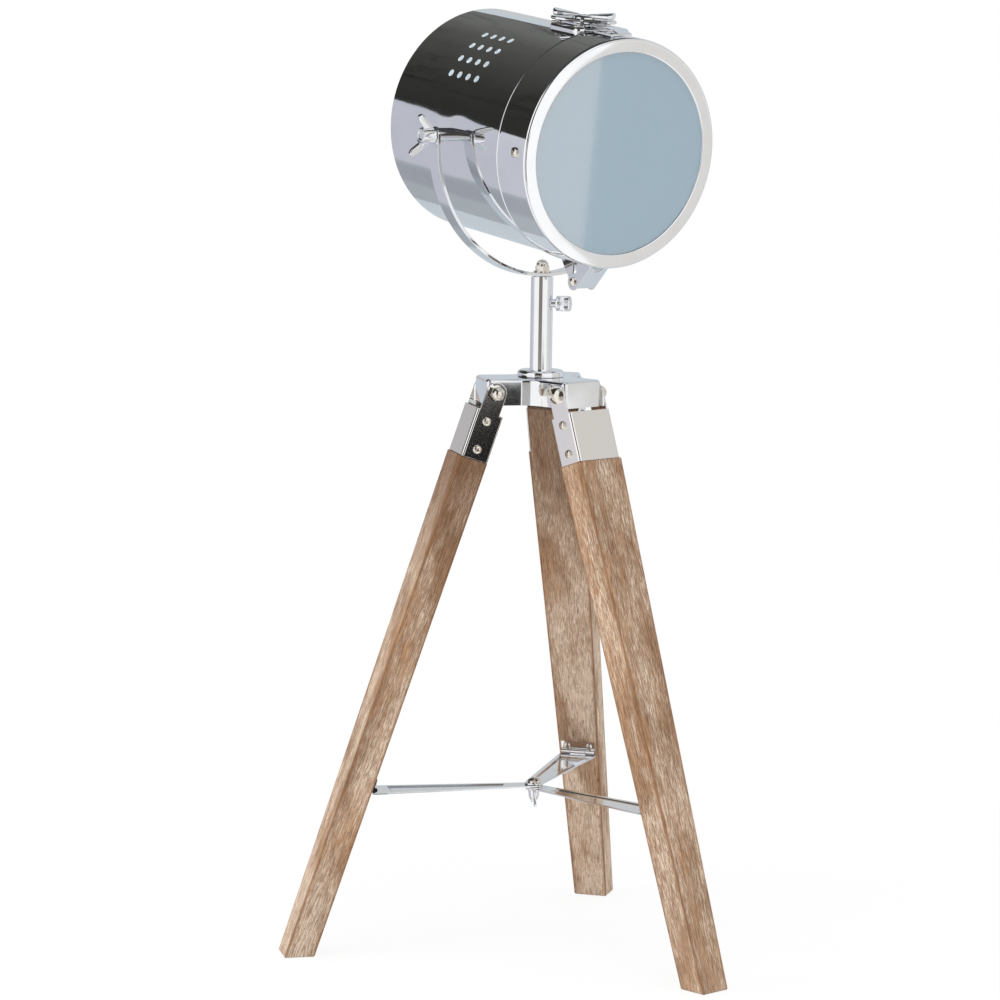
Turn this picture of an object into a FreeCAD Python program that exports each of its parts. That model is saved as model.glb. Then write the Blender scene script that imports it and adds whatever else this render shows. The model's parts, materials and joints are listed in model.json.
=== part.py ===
import FreeCAD, Part
import math
import os
import re
import Sketcher
from FreeCAD import Vector

# Tabletop searchlight lamp: a spun drum head in a yoke, on a short telescopic post and a
# wooden tripod. Millimetres, +Z up, origin on the table at the middle of the footprint.
# The head looks along -Y and is tipped a little downwards.

# ---------------------------------------------------------------- driving dimensions

SIZES = {
    # tripod
    "leg_length": 431.0,          # pivot to table, along the leg
    "leg_splay": 18.7,            # degrees from vertical
    "leg_azimuth": 9.0,           # degrees of the front leg from -Y, towards +X
    "leg_pivot_radius": 37.2,     # pivots from the post axis
    "leg_depth": 21.0,            # radial depth of the wood
    "leg_top_width": 43.4,        # width where the taper would meet the pivot
    "leg_foot_width": 25.3,       # width at the table
    "leg_edge_radius": 1.0,
    "bracket_width": 40.0,
    "bracket_depth": 19.8,
    "bracket_plate": 1.2,
    "bracket_top": 14.0,          # below the pivot
    "bracket_bottom": 50.0,       # below the pivot
    "ear_radius": 7.7,
    "pivot_bolt_radius": 3.0,
    "bracket_screw_first": 21.5,
    "bracket_screw_second": 42.5,
    # hub
    "hub_arm_end": 44.2,          # flat end of each arm from the post axis
    "hub_below_pivot": 9.0,
    "hub_above_pivot": 7.0,
    "hub_plate": 3.0,
    "hub_wall": 4.0,
    "hub_corner_radius": 16.0,
    "collar_radius": 16.8,
    "collar_height": 5.0,
    # post
    "tube_radius": 8.0,
    "tube_wall": 1.5,
    "tube_length": 72.0,
    "stud_radius": 4.0,
    "rod_length": 58.0,
    "thumb_drop": 19.0,           # thumb screw below the tube's top
    "thumb_azimuth": 42.0,
    "thumb_knob_radius": 5.5,
    # spreader
    "brace_station": 299.0,       # hinge pins below the leg pivots, along the leg
    "brace_hinge_width": 26.0,
    "brace_hinge_height": 7.5,
    "brace_knuckle_radius": 1.8,
    "brace_thickness": 1.2,
    "brace_wide_half": 14.0,
    "brace_narrow_half": 6.4,
    "brace_bolt_radius": 3.0,
    # yoke
    "yoke_thickness": 2.5,
    "yoke_width": 12.0,
    "yoke_straight": 6.3,
    "yoke_stud_radius": 3.0,
    "pivot_stud_radius": 2.95,
    "spacer_gap": 12.7,           # between the drum and the yoke band
    "spacer_radius": 5.0,
    # drum and its door
    "head_tilt": 6.5,             # degrees, front down
    "drum_radius": 80.0,
    "drum_wall": 1.0,
    "drum_rear": 79.6,            # behind the pivots
    "drum_front": 64.5,           # in front of the pivots, inside the door's skirt
    "skirt_rear": 58.7,
    "skirt_gap": 0.3,
    "skirt_wall": 0.8,
    "ring_front": 93.2,
    "ring_width": 10.1,           # flat front of the door, from its rim to the lens
    "ring_thickness": 1.0,
    "lens_thickness": 3.0,
    "gasket_thickness": 1.5,
    "retainer_depth": 11.3,
    "vent_radius": 2.6,
    "vent_pitch": 10.7,
    "vent_first": -22.8,
    "vent_angle": 32.0,
    "vent_step": 9.1,
    "cover_recess": 4.0,
    "cover_recess_radius": 44.0,
    "cable_bore_radius": 3.5,
    "cable_drop": 28.0,
    # lamp holder and bulb
    "holder_radius": 19.5,
    "holder_length": 50.0,
    "nipple_radius": 5.0,
    "bulb_radius": 30.0,
    "bulb_cap_radius": 13.2,
    "bulb_length": 105.0,
    "bulb_wall": 1.2,
    # door hinge
    "hinge_station": 60.6,
    "hinge_drop": 16.0,           # pin below the drum
    "hinge_boss": 6.0,
    "hinge_reach": 19.2,
    "hinge_half_width": 8.3,
    "hinge_sheet": 1.2,
    "hinge_pin_radius": 1.6,
    # latch
    "latch_station": 36.0,
    "latch_base_half": 17.5,
    "latch_base_rear": 16.0,
    "latch_base_front": 54.0,
    "latch_base_top": 3.0,        # above the drum
    "latch_disc_radius": 17.0,
    "latch_wing_reach": 24.0,
    "latch_throw": 2.5,           # eccentricity of the cam
    "latch_cam_radius": 5.0,
    "latch_axle_radius": 2.0,
    "claw_station": 56.4,
    "claw_tip": 86.4,
    # clearances
    "fit_gap": 0.05,              # shafts and screws in their holes, per side
    "rod_gap": 0.05,
    "face_gap": 0.3,              # between pieces that move on each other
}

NAMES = re.compile(r"\b(" + "|".join(sorted(SIZES, key=len, reverse=True)) + r")\b")

doc = FreeCAD.newDocument("SearchlightLamp")
sheet = doc.addObject("Spreadsheet::Sheet", "Dim")
for row, (alias, size) in enumerate(SIZES.items(), 1):
    sheet.set(f"A{row}", alias)
    sheet.set(f"B{row}", str(size))
    sheet.setAlias(f"B{row}", alias)
doc.recompute()

# ---------------------------------------------------------------- helpers

NODES = []


def formula(text):
    """A formula of the sheet's aliases, as the document's expressions write it."""
    return NAMES.sub(r"Dim.\1", str(text))


def value(text):
    """What a formula comes to now."""
    return float(sheet.evalExpression(formula(text)))


def vector(x, y, z):
    return f"create(<<vector>>; {x}; {y}; {z})"


def move(x, y, z):
    return f"create(<<placement>>; {vector(x, y, z)}; create(<<rotation>>; {vector(0, 0, 1)}; 0))"


def turn(axis, angle):
    return f"create(<<placement>>; {vector(0, 0, 0)}; create(<<rotation>>; {vector(*axis)}; {angle}))"


X_AXIS, Y_AXIS, Z_AXIS = (1, 0, 0), (0, 1, 0), (0, 0, 1)
ALONG_X = turn(Y_AXIS, 90)        # turns a primitive's Z axis to X
ALONG_Y = turn(X_AXIS, -90)       # turns a primitive's Z axis to Y


def chain(*steps):
    return " * ".join(steps)


def place(obj, placement):
    if placement:
        obj.setExpression("Placement", formula(placement))
    return obj


def node(label, obj, frame=None):
    """Names a finished sub-part, puts it in its frame and lists it for export."""
    obj.Label = label
    place(obj, frame)
    NODES.append(obj)
    return obj


def primitive(kind, placement=None, **sizes):
    obj = doc.addObject("Part::" + kind, kind)
    for name, size in sizes.items():
        obj.setExpression(name, formula(size))
    return place(obj, placement)


def cylinder(radius, length, placement=None):
    return primitive("Cylinder", placement, Radius=radius, Height=length)


def block(low, high):
    """A box between two corners, each given as three formulas."""
    spans = [f"({b}) - ({a})" for a, b in zip(low, high)]
    return primitive("Box", move(*low), Length=spans[0], Width=spans[1], Height=spans[2])


def together(*parts):
    """Several separate solids as one shape."""
    group = doc.addObject("Part::Compound", "Group")
    group.Links = list(parts)
    return group


def fuse(*parts):
    joined = doc.addObject("Part::MultiFuse", "Fusion")
    joined.Shapes = list(parts)
    return joined


def cut(base, *tools):
    piece = doc.addObject("Part::Cut", "Cut")
    piece.Base = base
    piece.Tool = tools[0] if len(tools) == 1 else together(*tools)
    return piece


def common(base, tool):
    piece = doc.addObject("Part::Common", "Common")
    piece.Base = base
    piece.Tool = tool
    return piece


def draw(body, plane, outline, circles=()):
    """A closed sketch on one of the body's own planes, every corner bound to formulas.

    A corner is (x, y), or (x, y, radius, side) where an arc leads to it from the corner
    before, with its centre on the left (side 1) or the right (side -1) of the way there.
    Half circles lie on a level chord.
    """
    sketch = body.newObject("Sketcher::SketchObject", "Sketch")
    support = [item for item in body.Origin.OriginFeatures if item.Role == plane][0]
    sketch.AttachmentSupport = [(support, "")]
    sketch.MapMode = "FlatFace"
    corners = [Vector(value(corner[0]), value(corner[1]), 0) for corner in outline]
    edges = []
    for i, corner in enumerate(outline):
        start, end = corners[i - 1], corners[i]
        if len(corner) == 2:
            edges.append((sketch.addGeometry(Part.LineSegment(start, end), False), 1, 2))
            continue
        radius, side = value(corner[2]), corner[3]
        chord = end - start
        lift = math.sqrt(max(radius ** 2 - (chord.Length / 2) ** 2, 0))
        normal = Vector(-chord.y, chord.x, 0).normalize()
        centre = (start + end) * 0.5 + normal * (lift * side)
        first, last = (start, end) if side > 0 else (end, start)
        angles = [math.atan2(point.y - centre.y, point.x - centre.x) for point in (first, last)]
        arc = Part.ArcOfCircle(Part.Circle(centre, Vector(0, 0, 1), radius), *angles)
        index = sketch.addGeometry(arc, False)
        edges.append((index, 1, 2) if side > 0 else (index, 2, 1))
        if lift < 1e-6:
            rule = sketch.addConstraint(Sketcher.Constraint("DistanceY", -1, 1, index, 3, centre.y))
            sketch.setExpression(f"Constraints[{rule}]", formula(corner[1]))
            continue
        rule = sketch.addConstraint(Sketcher.Constraint("Radius", index, radius))
        sketch.setExpression(f"Constraints[{rule}]", formula(corner[2]))
    for i, (index, first, last) in enumerate(edges):
        following = edges[(i + 1) % len(edges)]
        sketch.addConstraint(Sketcher.Constraint("Coincident", index, last, following[0], following[1]))
        for rule_kind, text, place_now in (("DistanceX", outline[i][0], corners[i].x),
                                           ("DistanceY", outline[i][1], corners[i].y)):
            rule = sketch.addConstraint(
                Sketcher.Constraint(rule_kind, -1, 1, index, last, place_now))
            sketch.setExpression(f"Constraints[{rule}]", formula(text))
    for x, y, radius in circles:
        centre = Vector(value(x), value(y), 0)
        index = sketch.addGeometry(Part.Circle(centre, Vector(0, 0, 1), value(radius)), False)
        for rule_kind, text, number in (("DistanceX", x, centre.x), ("DistanceY", y, centre.y)):
            rule = sketch.addConstraint(Sketcher.Constraint(rule_kind, -1, 1, index, 3, number))
            sketch.setExpression(f"Constraints[{rule}]", formula(text))
        rule = sketch.addConstraint(Sketcher.Constraint("Radius", index, value(radius)))
        sketch.setExpression(f"Constraints[{rule}]", formula(radius))
    return sketch


def turned(outline):
    """A body turned about Z from an outline of (radius, height) corners."""
    body = doc.addObject("PartDesign::Body", "Turned")
    sketch = draw(body, "XZ_Plane", outline)
    revolution = body.newObject("PartDesign::Revolution", "Revolution")
    revolution.Profile = sketch
    revolution.ReferenceAxis = (sketch, ["V_Axis"])
    revolution.Angle = 360
    return body


def pad(body, sketch, length, symmetric=True):
    feature = body.newObject("PartDesign::Pad", "Pad")
    feature.Profile = sketch
    feature.SideType = "Symmetric" if symmetric else "One side"
    feature.setExpression("Length", formula(length))
    return feature


def padded(plane, outline, length, symmetric=True, circles=()):
    """A body padded from an outline, to both sides of its plane or upwards from it."""
    body = doc.addObject("PartDesign::Body", "Padded")
    pad(body, draw(body, plane, outline, circles), length, symmetric)
    return body


def pocket_through(body, plane, outline):
    sketch = draw(body, plane, outline)
    feature = body.newObject("PartDesign::Pocket", "Pocket")
    feature.Profile = sketch
    feature.SideType = "Symmetric"
    feature.setExpression("Length", formula("leg_length"))
    return feature


def dress(body, kind, size_name, size, wanted):
    """Rounds or chamfers the edges of the body's tip that `wanted` picks."""
    doc.recompute()
    base = body.Tip
    names = [f"Edge{i}" for i, edge in enumerate(base.Shape.Edges, 1) if wanted(edge)]
    feature = body.newObject("PartDesign::" + kind, kind)
    feature.Base = (base, names)
    feature.setExpression(size_name, formula(size))
    return feature


def edge_points(edge):
    return [vertex.Point for vertex in edge.Vertexes]


def mirrored_pair(outline):
    """Adds an outline's mirror image about the vertical axis, in reverse order."""
    return outline + [(f"-({x})", y) for x, y in reversed(outline)]


# ---------------------------------------------------------------- frames

PIVOT_HEIGHT = "(leg_length * cos(leg_splay))"
FOOT_RADIUS = "(leg_pivot_radius + leg_length * sin(leg_splay) + leg_depth / 2 / cos(leg_splay))"
LEGS = {"right": "leg_azimuth", "back": "(leg_azimuth + 120)", "left": "(leg_azimuth - 120)"}


def footprint(radial, tangential):
    """Lowest and highest place of the feet along one axis, as formulas."""
    middles = [f"{FOOT_RADIUS} * {radial(angle)}" for angle in LEGS.values()]
    halves = [f"leg_foot_width / 2 * abs({tangential(angle)})" for angle in LEGS.values()]
    low = "min(" + "; ".join(f"{m} - {h}" for m, h in zip(middles, halves)) + ")"
    high = "max(" + "; ".join(f"{m} + {h}" for m, h in zip(middles, halves)) + ")"
    return low, high


LOW_X, HIGH_X = footprint(lambda angle: f"sin({angle})", lambda angle: f"cos({angle})")
LOW_Y, HIGH_Y = footprint(lambda angle: f"(-1 * cos({angle}))", lambda angle: f"sin({angle})")
POST = move(f"-({LOW_X} + {HIGH_X}) / 2", f"-({LOW_Y} + {HIGH_Y}) / 2", 0)

LEG_FRAMES = {
    side: chain(POST, turn(Z_AXIS, angle), move(0, "-leg_pivot_radius", PIVOT_HEIGHT),
                turn(X_AXIS, "-leg_splay"))
    for side, angle in LEGS.items()
}

HUB_TOP = f"({PIVOT_HEIGHT} + hub_above_pivot + hub_plate)"
TUBE_TOP = f"({HUB_TOP} + tube_length)"
ROD_TOP = f"({TUBE_TOP} + face_gap)"
YOKE_BOTTOM = f"({ROD_TOP} + 2 * fit_gap)"
YOKE_INNER = "(drum_radius + spacer_gap)"
YOKE_OUTER = "(drum_radius + spacer_gap + yoke_thickness)"
HEAD_HEIGHT = f"({YOKE_BOTTOM} + {YOKE_OUTER} + yoke_straight)"
HEAD = chain(POST, move(0, 0, HEAD_HEIGHT))
# Along the beam: x is the lamp's left-right axis, y is up and z is forwards.
BEAM = chain(HEAD, turn(X_AXIS, "head_tilt + 90"))
# The latch's axle: x as before, y is backwards and z is up from the drum's axis.
LATCH = chain(BEAM, move(0, 0, "latch_station"), turn(X_AXIS, -90))

# ---------------------------------------------------------------- fasteners

SCREW_HEAD_RADIUS = 3.0
SCREW_HEAD_HEIGHT = 2.0


def pan_screw(placement, shank_radius, shank_length, head_radius=SCREW_HEAD_RADIUS,
              head_height=SCREW_HEAD_HEIGHT):
    """A screw along Z: its head stands above z = 0 and its shank goes down."""
    rim = head_height * 0.45
    bulge = (head_radius ** 2 + (head_height - rim) ** 2) / (2 * (head_height - rim))
    screw = turned([(0, f"-({shank_length})"), (shank_radius, f"-({shank_length})"),
                    (shank_radius, 0), (head_radius, 0), (head_radius, rim),
                    (0, head_height, bulge, 1)])
    return place(screw, placement)


def hexagon(corner_radius, low, high):
    return primitive("Prism", move(0, 0, low), Polygon=6, Circumradius=corner_radius,
                     Height=f"({high}) - ({low})")


def dome_nut(placement, corner_radius, hex_height, dome_radius, height, bore_radius, bore_depth):
    """A dome nut that stands on z = 0 and closes over the end of its stud."""
    cap = turned([(0, 0), (dome_radius, 0), (dome_radius, height - dome_radius),
                  (0, height, dome_radius, 1)])
    nut = cut(fuse(hexagon(corner_radius, 0, hex_height), cap), cylinder(bore_radius, bore_depth))
    return place(nut, placement)


def wing_nut(label, frame, hub_radius, hub_height, reach, height, thickness, bore_radius):
    """A wing nut that stands on z = 0, with its wings spread along X."""
    root = hub_radius * 0.6
    wing = mirrored_pair([
        (root, hub_height * 0.2), (hub_radius + 1, hub_height * 0.2),
        (reach * 0.86, height * 0.62), (reach, height * 0.82), (reach * 0.9, height),
        (reach * 0.68, height * 0.94), (hub_radius, hub_height * 0.95), (root, hub_height * 0.95)])
    body = turned([(0, 0), (hub_radius, 0), (hub_radius * 0.86, hub_height), (0, hub_height)])
    pad(body, draw(body, "XZ_Plane", wing), thickness)
    nut = cut(body, cylinder(bore_radius, height * 3, move(0, 0, -height)))
    return node(label, nut, frame)


# ---------------------------------------------------------------- tripod


def leg_width(station):
    return f"(leg_top_width - (leg_top_width - leg_foot_width) * ({station}) / leg_length)"


TENON_HALF = "(bracket_width / 2 - bracket_plate)"
WOOD_TOP = "(bracket_top + 1)"
SHOULDER = "(bracket_bottom + face_gap)"
LEG_END = "(leg_length + leg_depth)"
SCREW_RADIUS = 1.4
BRACE_SCREW_SPREAD = "(brace_hinge_width / 2 - 4.4)"
BRACE_SCREW_STATION = "(brace_station - brace_hinge_height / 2 - 0.6)"


def bracket_screw_holes(radius):
    return [cylinder(radius, "2 * bracket_width",
                     chain(move("-bracket_width", 0, f"-{station}"), ALONG_X))
            for station in ("bracket_screw_first", "bracket_screw_second")]


def wooden_leg(side):
    """A tapered leg: its top is cut back for the bracket, its foot is cut level."""
    half = [(f"{leg_width(WOOD_TOP)} / 2", f"-{WOOD_TOP}"),
            (f"{leg_width(LEG_END)} / 2", f"-{LEG_END}")]
    body = padded("XZ_Plane", mirrored_pair(half), "leg_depth")
    dress(body, "Fillet", "Radius", "leg_edge_radius",
          lambda edge: abs(edge_points(edge)[0].z - edge_points(edge)[1].z) > 100)
    far = "2 * leg_depth"
    pocket_through(body, "YZ_Plane", [
        (f"-({far})", f"-leg_length - {far} * tan(leg_splay)"),
        (far, f"-leg_length + {far} * tan(leg_splay)"),
        (far, f"-leg_length - 3 * leg_depth"), (f"-({far})", f"-leg_length - 3 * leg_depth")])
    seat = "-(bracket_depth / 2 - bracket_plate)"
    pocket_through(body, "YZ_Plane", [
        (seat, f"-{SHOULDER}"), (seat, 0), (f"-({far})", 0), (f"-({far})", f"-{SHOULDER}")])
    for sign in (-1, 1):
        pocket_through(body, "XZ_Plane", [
            (f"{sign} * {TENON_HALF}", f"-{SHOULDER}"), (f"{sign} * {TENON_HALF}", 0),
            (f"{sign} * {far}", 0), (f"{sign} * {far}", f"-{SHOULDER}")])
    floor = value("-leg_length")
    slope = math.tan(math.radians(value("leg_splay")))

    def on_floor(point):
        return abs(point.z - floor - point.y * slope) < 0.01

    dress(body, "Chamfer", "Size", "0.8 * leg_edge_radius",
          lambda edge: all(on_floor(point) for point in edge_points(edge)))
    hinge_holes = [cylinder(SCREW_RADIUS + value("fit_gap"), "leg_depth / 2",
                            chain(move(f"{sign} * {BRACE_SCREW_SPREAD}", 0,
                                       f"-{BRACE_SCREW_STATION}"), ALONG_Y))
                   for sign in (-1, 1)]
    holes = bracket_screw_holes(SCREW_RADIUS + value("fit_gap"))
    node(f"leg_{side}", cut(body, *holes, *hinge_holes), LEG_FRAMES[side])


def leg_bracket(side):
    """A bent cap for the leg: an outer plate and two side plates that end in round ears."""
    front, back = "-(bracket_depth / 2)", "(bracket_depth / 2)"
    neck = "ear_radius"
    profile = [(front, "-bracket_bottom"), (back, "-bracket_bottom"), (back, "-bracket_top - 1"),
               (neck, "-bracket_top - 1"), (neck, 0), (f"-({neck})", 0, neck, 1),
               (f"-({neck})", "-bracket_top"), (front, "-bracket_top")]
    sides = padded("YZ_Plane", profile, "bracket_width")
    inside = block((f"-{TENON_HALF}", "-(bracket_depth / 2 - bracket_plate)", "-2 * bracket_bottom"),
                   (TENON_HALF, "bracket_depth", "2 * ear_radius"))
    above = block((f"-{TENON_HALF}", "-bracket_depth", "-bracket_top"),
                  (TENON_HALF, "bracket_depth", "2 * ear_radius"))
    bolt_hole = cylinder("pivot_bolt_radius + fit_gap", "2 * bracket_width",
                         chain(move("-bracket_width", 0, 0), ALONG_X))
    holes = bracket_screw_holes(SCREW_RADIUS + value("fit_gap"))
    node(f"leg_bracket_{side}", cut(sides, inside, above, bolt_hole, *holes), LEG_FRAMES[side])


def leg_fasteners():
    bolts, nuts, screws = [], [], []
    for side, frame in LEG_FRAMES.items():
        half = "bracket_width / 2"
        bolts.append(pan_screw(chain(frame, move(f"-{half}", 0, 0), turn(Y_AXIS, -90)),
                               "pivot_bolt_radius", "bracket_width + 6", 5.6, 3.6))
        nuts.append(dome_nut(chain(frame, move(half, 0, 0), ALONG_X), 5.7, 4.2, 4.6, 8.6,
                             "pivot_bolt_radius + fit_gap", 6.4))
        for station in ("bracket_screw_first", "bracket_screw_second"):
            for sign in (-1, 1):
                seat = chain(frame, move(f"{sign} * {half}", 0, f"-{station}"),
                             turn(Y_AXIS, 90 * sign))
                screws.append(pan_screw(seat, SCREW_RADIUS, 14))
    node("leg_pivot_bolts", together(*bolts))
    node("leg_pivot_nuts", together(*nuts))
    node("bracket_screws", together(*screws))


def hub_outline(shrink):
    """Plan of the three-armed hub, shrunk by a wall."""
    half = f"({TENON_HALF} - face_gap / 2 - {shrink})"
    reach = f"(hub_arm_end - {shrink})"
    outline = []
    for angle in (LEGS["left"], LEGS["right"], LEGS["back"]):
        for sign in (-1, 1):
            outline.append((f"{reach} * sin({angle}) + {sign} * {half} * cos({angle})",
                            f"-{reach} * cos({angle}) + {sign} * {half} * sin({angle})"))
        outline.append((f"{half} / sin(60) * sin({angle} + 60)",
                        f"-{half} / sin(60) * cos({angle} + 60)"))
    return outline


HUB_POST = chain(POST, move(0, 0, PIVOT_HEIGHT))


def hub_casting():
    """The cast hub: three hollow arms between the bracket ears, rounded along the top."""
    height = "hub_below_pivot + hub_above_pivot + hub_plate"
    arms = padded("XY_Plane", hub_outline(0), height, False)

    def inner_corner(edge):
        points = edge_points(edge)
        return (len(points) == 2 and abs(points[0].z - points[1].z) > 1
                and math.hypot(points[0].x, points[0].y) < value("hub_arm_end") * 0.7)

    dress(arms, "Fillet", "Radius", "hub_corner_radius", inner_corner)
    upper = value(height)

    def top_edge(edge):
        return all(abs(point.z - upper) < 0.01 for point in edge_points(edge))

    dress(arms, "Fillet", "Radius", "hub_plate / 2", top_edge)
    place(arms, move(0, 0, "-hub_below_pivot"))
    hollow = place(padded("XY_Plane", hub_outline("hub_wall"),
                          "hub_below_pivot + hub_above_pivot - hub_wall", False),
                   move(0, 0, "-hub_below_pivot"))
    bolt_holes = [cylinder("pivot_bolt_radius + fit_gap", "2 * bracket_width",
                           chain(turn(Z_AXIS, angle),
                                 move("-bracket_width", "-leg_pivot_radius", 0), ALONG_X))
                  for angle in LEGS.values()]
    stud_hole = cylinder("stud_radius + fit_gap", "4 * hub_below_pivot",
                         move(0, 0, "-2 * hub_below_pivot"))
    casting = cut(arms, hollow, stud_hole, *bolt_holes)
    node("hub_casting", casting, HUB_POST)


WASHER_HEIGHT = 1.2
NUT_HEIGHT = 6.0


def post_pieces():
    base = chain(POST, move(0, 0, HUB_TOP))
    bore = "(tube_radius - tube_wall)"
    rim = "collar_radius"
    node("hub_collar", turned([
        ("tube_radius + fit_gap", 0), (f"{rim} - 0.6", 0), (rim, 0.6), (rim, 1.8),
        (f"{rim} - 2.4", "collar_height - 0.8", 2.4, 1), ("tube_radius + 2", "collar_height"),
        ("tube_radius + fit_gap", "collar_height")]), base)
    tube = turned([(bore, 0), ("tube_radius", 0), ("tube_radius", "tube_length"),
                   (bore, "tube_length")])
    thumb_hole = cylinder("pivot_bolt_radius + fit_gap", "2 * tube_radius", THUMB_IN_TUBE)
    node("outer_tube", cut(tube, thumb_hole), base)
    plug, depth = f"({bore} - fit_gap)", "hub_plate + hub_wall + 1.2 * stud_radius"
    foot = f"-({depth} + {WASHER_HEIGHT + NUT_HEIGHT - 3})"
    node("tube_stud", turned([(0, foot), ("stud_radius", foot), ("stud_radius", 0), (plug, 0),
                              (plug, 8), (0, 8)]), base)
    ceiling = chain(POST, move(0, 0, f"{PIVOT_HEIGHT} + hub_above_pivot - hub_wall"))
    washer = cut(cylinder("2 * stud_radius", WASHER_HEIGHT, move(0, 0, -WASHER_HEIGHT)),
                 cylinder("stud_radius + fit_gap", 9, move(0, 0, -5)))
    node("tube_washer", washer, ceiling)
    low = -WASHER_HEIGHT - NUT_HEIGHT
    nut = cut(hexagon("1.85 * stud_radius", low, -WASHER_HEIGHT),
              cylinder("stud_radius + fit_gap", 20, move(0, 0, -15)))
    node("tube_nut", nut, ceiling)
    rod = "(tube_radius - tube_wall - rod_gap)"
    spigot = "yoke_thickness + 6.5"
    node("inner_rod", turned([
        (0, "-rod_length"), (f"{rod} - 1", "-rod_length"), (rod, "1 - rod_length"), (rod, 0),
        ("yoke_stud_radius", 0), ("yoke_stud_radius", spigot), (0, spigot)]),
        chain(POST, move(0, 0, ROD_TOP)))


# Outwards from the tube's axis, along the thumb screw.
THUMB_IN_TUBE = chain(turn(Z_AXIS, "thumb_azimuth"), move(0, 0, "tube_length - thumb_drop"),
                      turn(X_AXIS, 90))


THUMB_NECK = 2.9                  # bare shank between the tube and the knob
THUMB_KNOB = 10.4                 # length of the knob


def thumb_screw():
    """A clamping screw: a plain shank, a collar, a groove and a knob that is knurled."""
    tip = "(tube_radius - tube_wall + fit_gap)"
    knob = "thumb_knob_radius"
    near = f"(tube_radius + {THUMB_NECK})"
    far = f"({near} + {THUMB_KNOB})"
    node("thumb_screw", turned([
        (0, tip), ("pivot_bolt_radius", tip), ("pivot_bolt_radius", near), (f"{knob} - 0.7", near),
        (knob, f"{near} + 0.7"), (knob, f"{near} + 2"), (f"{knob} - 0.8", f"{near} + 2.6"),
        (knob, f"{near} + 3.2"), (knob, f"{far} - 1"), (f"{knob} - 1", far), (0, far)]),
        chain(POST, move(0, 0, HUB_TOP), THUMB_IN_TUBE))


# ---------------------------------------------------------------- spreader

PIN_STAND_OFF = "(leg_depth / 2 + brace_thickness + brace_knuckle_radius - 0.8)"
BRACE_RADIUS = (f"(leg_pivot_radius + brace_station * sin(leg_splay)"
                f" - {PIN_STAND_OFF} * cos(leg_splay))")
BRACE_HEIGHT = f"({PIVOT_HEIGHT} - brace_station * cos(leg_splay) - {PIN_STAND_OFF} * sin(leg_splay))"
STACK_STEP = "(brace_thickness + 3 * fit_gap)"
ARM_DROP = "(brace_knuckle_radius + 0.1)"
STACK_MIDDLE = f"({BRACE_HEIGHT} - {ARM_DROP} - brace_thickness / 2)"
STACK_LEVELS = {"back": 1, "left": 0, "right": -1}
PIN_RADIUS = 1.0
ARM_KNUCKLE_HALF = 6.0


def spreader_hinge(frame):
    """A hinge plate on the inner face of a leg, with a knuckle at each end."""
    face = "(leg_depth / 2)"
    low = "-(brace_station - 0.5)"
    half = "(brace_hinge_width / 2)"
    plate = block((f"-{half}", face, low), (half, f"{face} + brace_thickness",
                                            f"{low} + brace_hinge_height"))
    barrel = cylinder("brace_knuckle_radius", "brace_hinge_width",
                      chain(move(f"-{half}", PIN_STAND_OFF, "-brace_station"), ALONG_X))
    gap = ARM_KNUCKLE_HALF + 0.15
    notch = block((-gap, f"{face} - 1", "-brace_station - 3"),
                  (gap, f"{face} + 9", "-brace_station + brace_knuckle_radius + 0.2"))
    inside = block((f"-{half} - 1", f"{face} - 9", "-brace_station - 9"),
                   (f"{half} + 1", face, "-brace_station + 9"))
    pin_hole = cylinder(PIN_RADIUS + 0.05, "2 * brace_hinge_width",
                        chain(move("-brace_hinge_width", PIN_STAND_OFF, "-brace_station"), ALONG_X))
    screw_holes = [cylinder(SCREW_RADIUS + 0.05, 9,
                            chain(move(f"{sign} * {BRACE_SCREW_SPREAD}", f"{face} - 3",
                                       f"-{BRACE_SCREW_STATION}"), ALONG_Y)) for sign in (-1, 1)]
    return place(cut(fuse(plate, barrel), notch, inside, pin_hole, *screw_holes), frame)


def arm_frame(side):
    """The hinge pin of a spreader arm: y runs inwards to the centre bolt."""
    lift = f"asin({STACK_LEVELS[side]} * {STACK_STEP} / {BRACE_RADIUS})"
    return chain(POST, turn(Z_AXIS, LEGS[side]), move(0, f"-{BRACE_RADIUS}", BRACE_HEIGHT),
                 turn(X_AXIS, lift))


def spreader_arm(side):
    """A flat arm, wide at its hinge and narrow at the centre bolt."""
    wide, narrow = "brace_wide_half", "brace_narrow_half"
    outline = [(f"-{wide}", -1.5), (wide, -1.5), (wide, 7), (narrow, BRACE_RADIUS),
               (f"-{narrow}", BRACE_RADIUS, narrow, 1), (f"-{wide}", 7)]
    plate = place(padded("XY_Plane", outline, "brace_thickness", False,
                         [(0, BRACE_RADIUS, "brace_bolt_radius + 2 * fit_gap")]),
                  move(0, 0, f"-({ARM_DROP} + brace_thickness)"))
    knuckle = fuse(cylinder("brace_knuckle_radius", 2 * ARM_KNUCKLE_HALF,
                            chain(move(-ARM_KNUCKLE_HALF, 0, 0), ALONG_X)),
                   block((-ARM_KNUCKLE_HALF, -1.2, f"-({ARM_DROP} + brace_thickness / 2)"),
                         (ARM_KNUCKLE_HALF, 1.2, 0)))
    pin_hole = cylinder(PIN_RADIUS + 0.05, 4 * ARM_KNUCKLE_HALF,
                        chain(move(-2 * ARM_KNUCKLE_HALF, 0, 0), ALONG_X))
    node(f"spreader_arm_{side}", cut(fuse(plate, knuckle), pin_hole), arm_frame(side))


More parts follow.
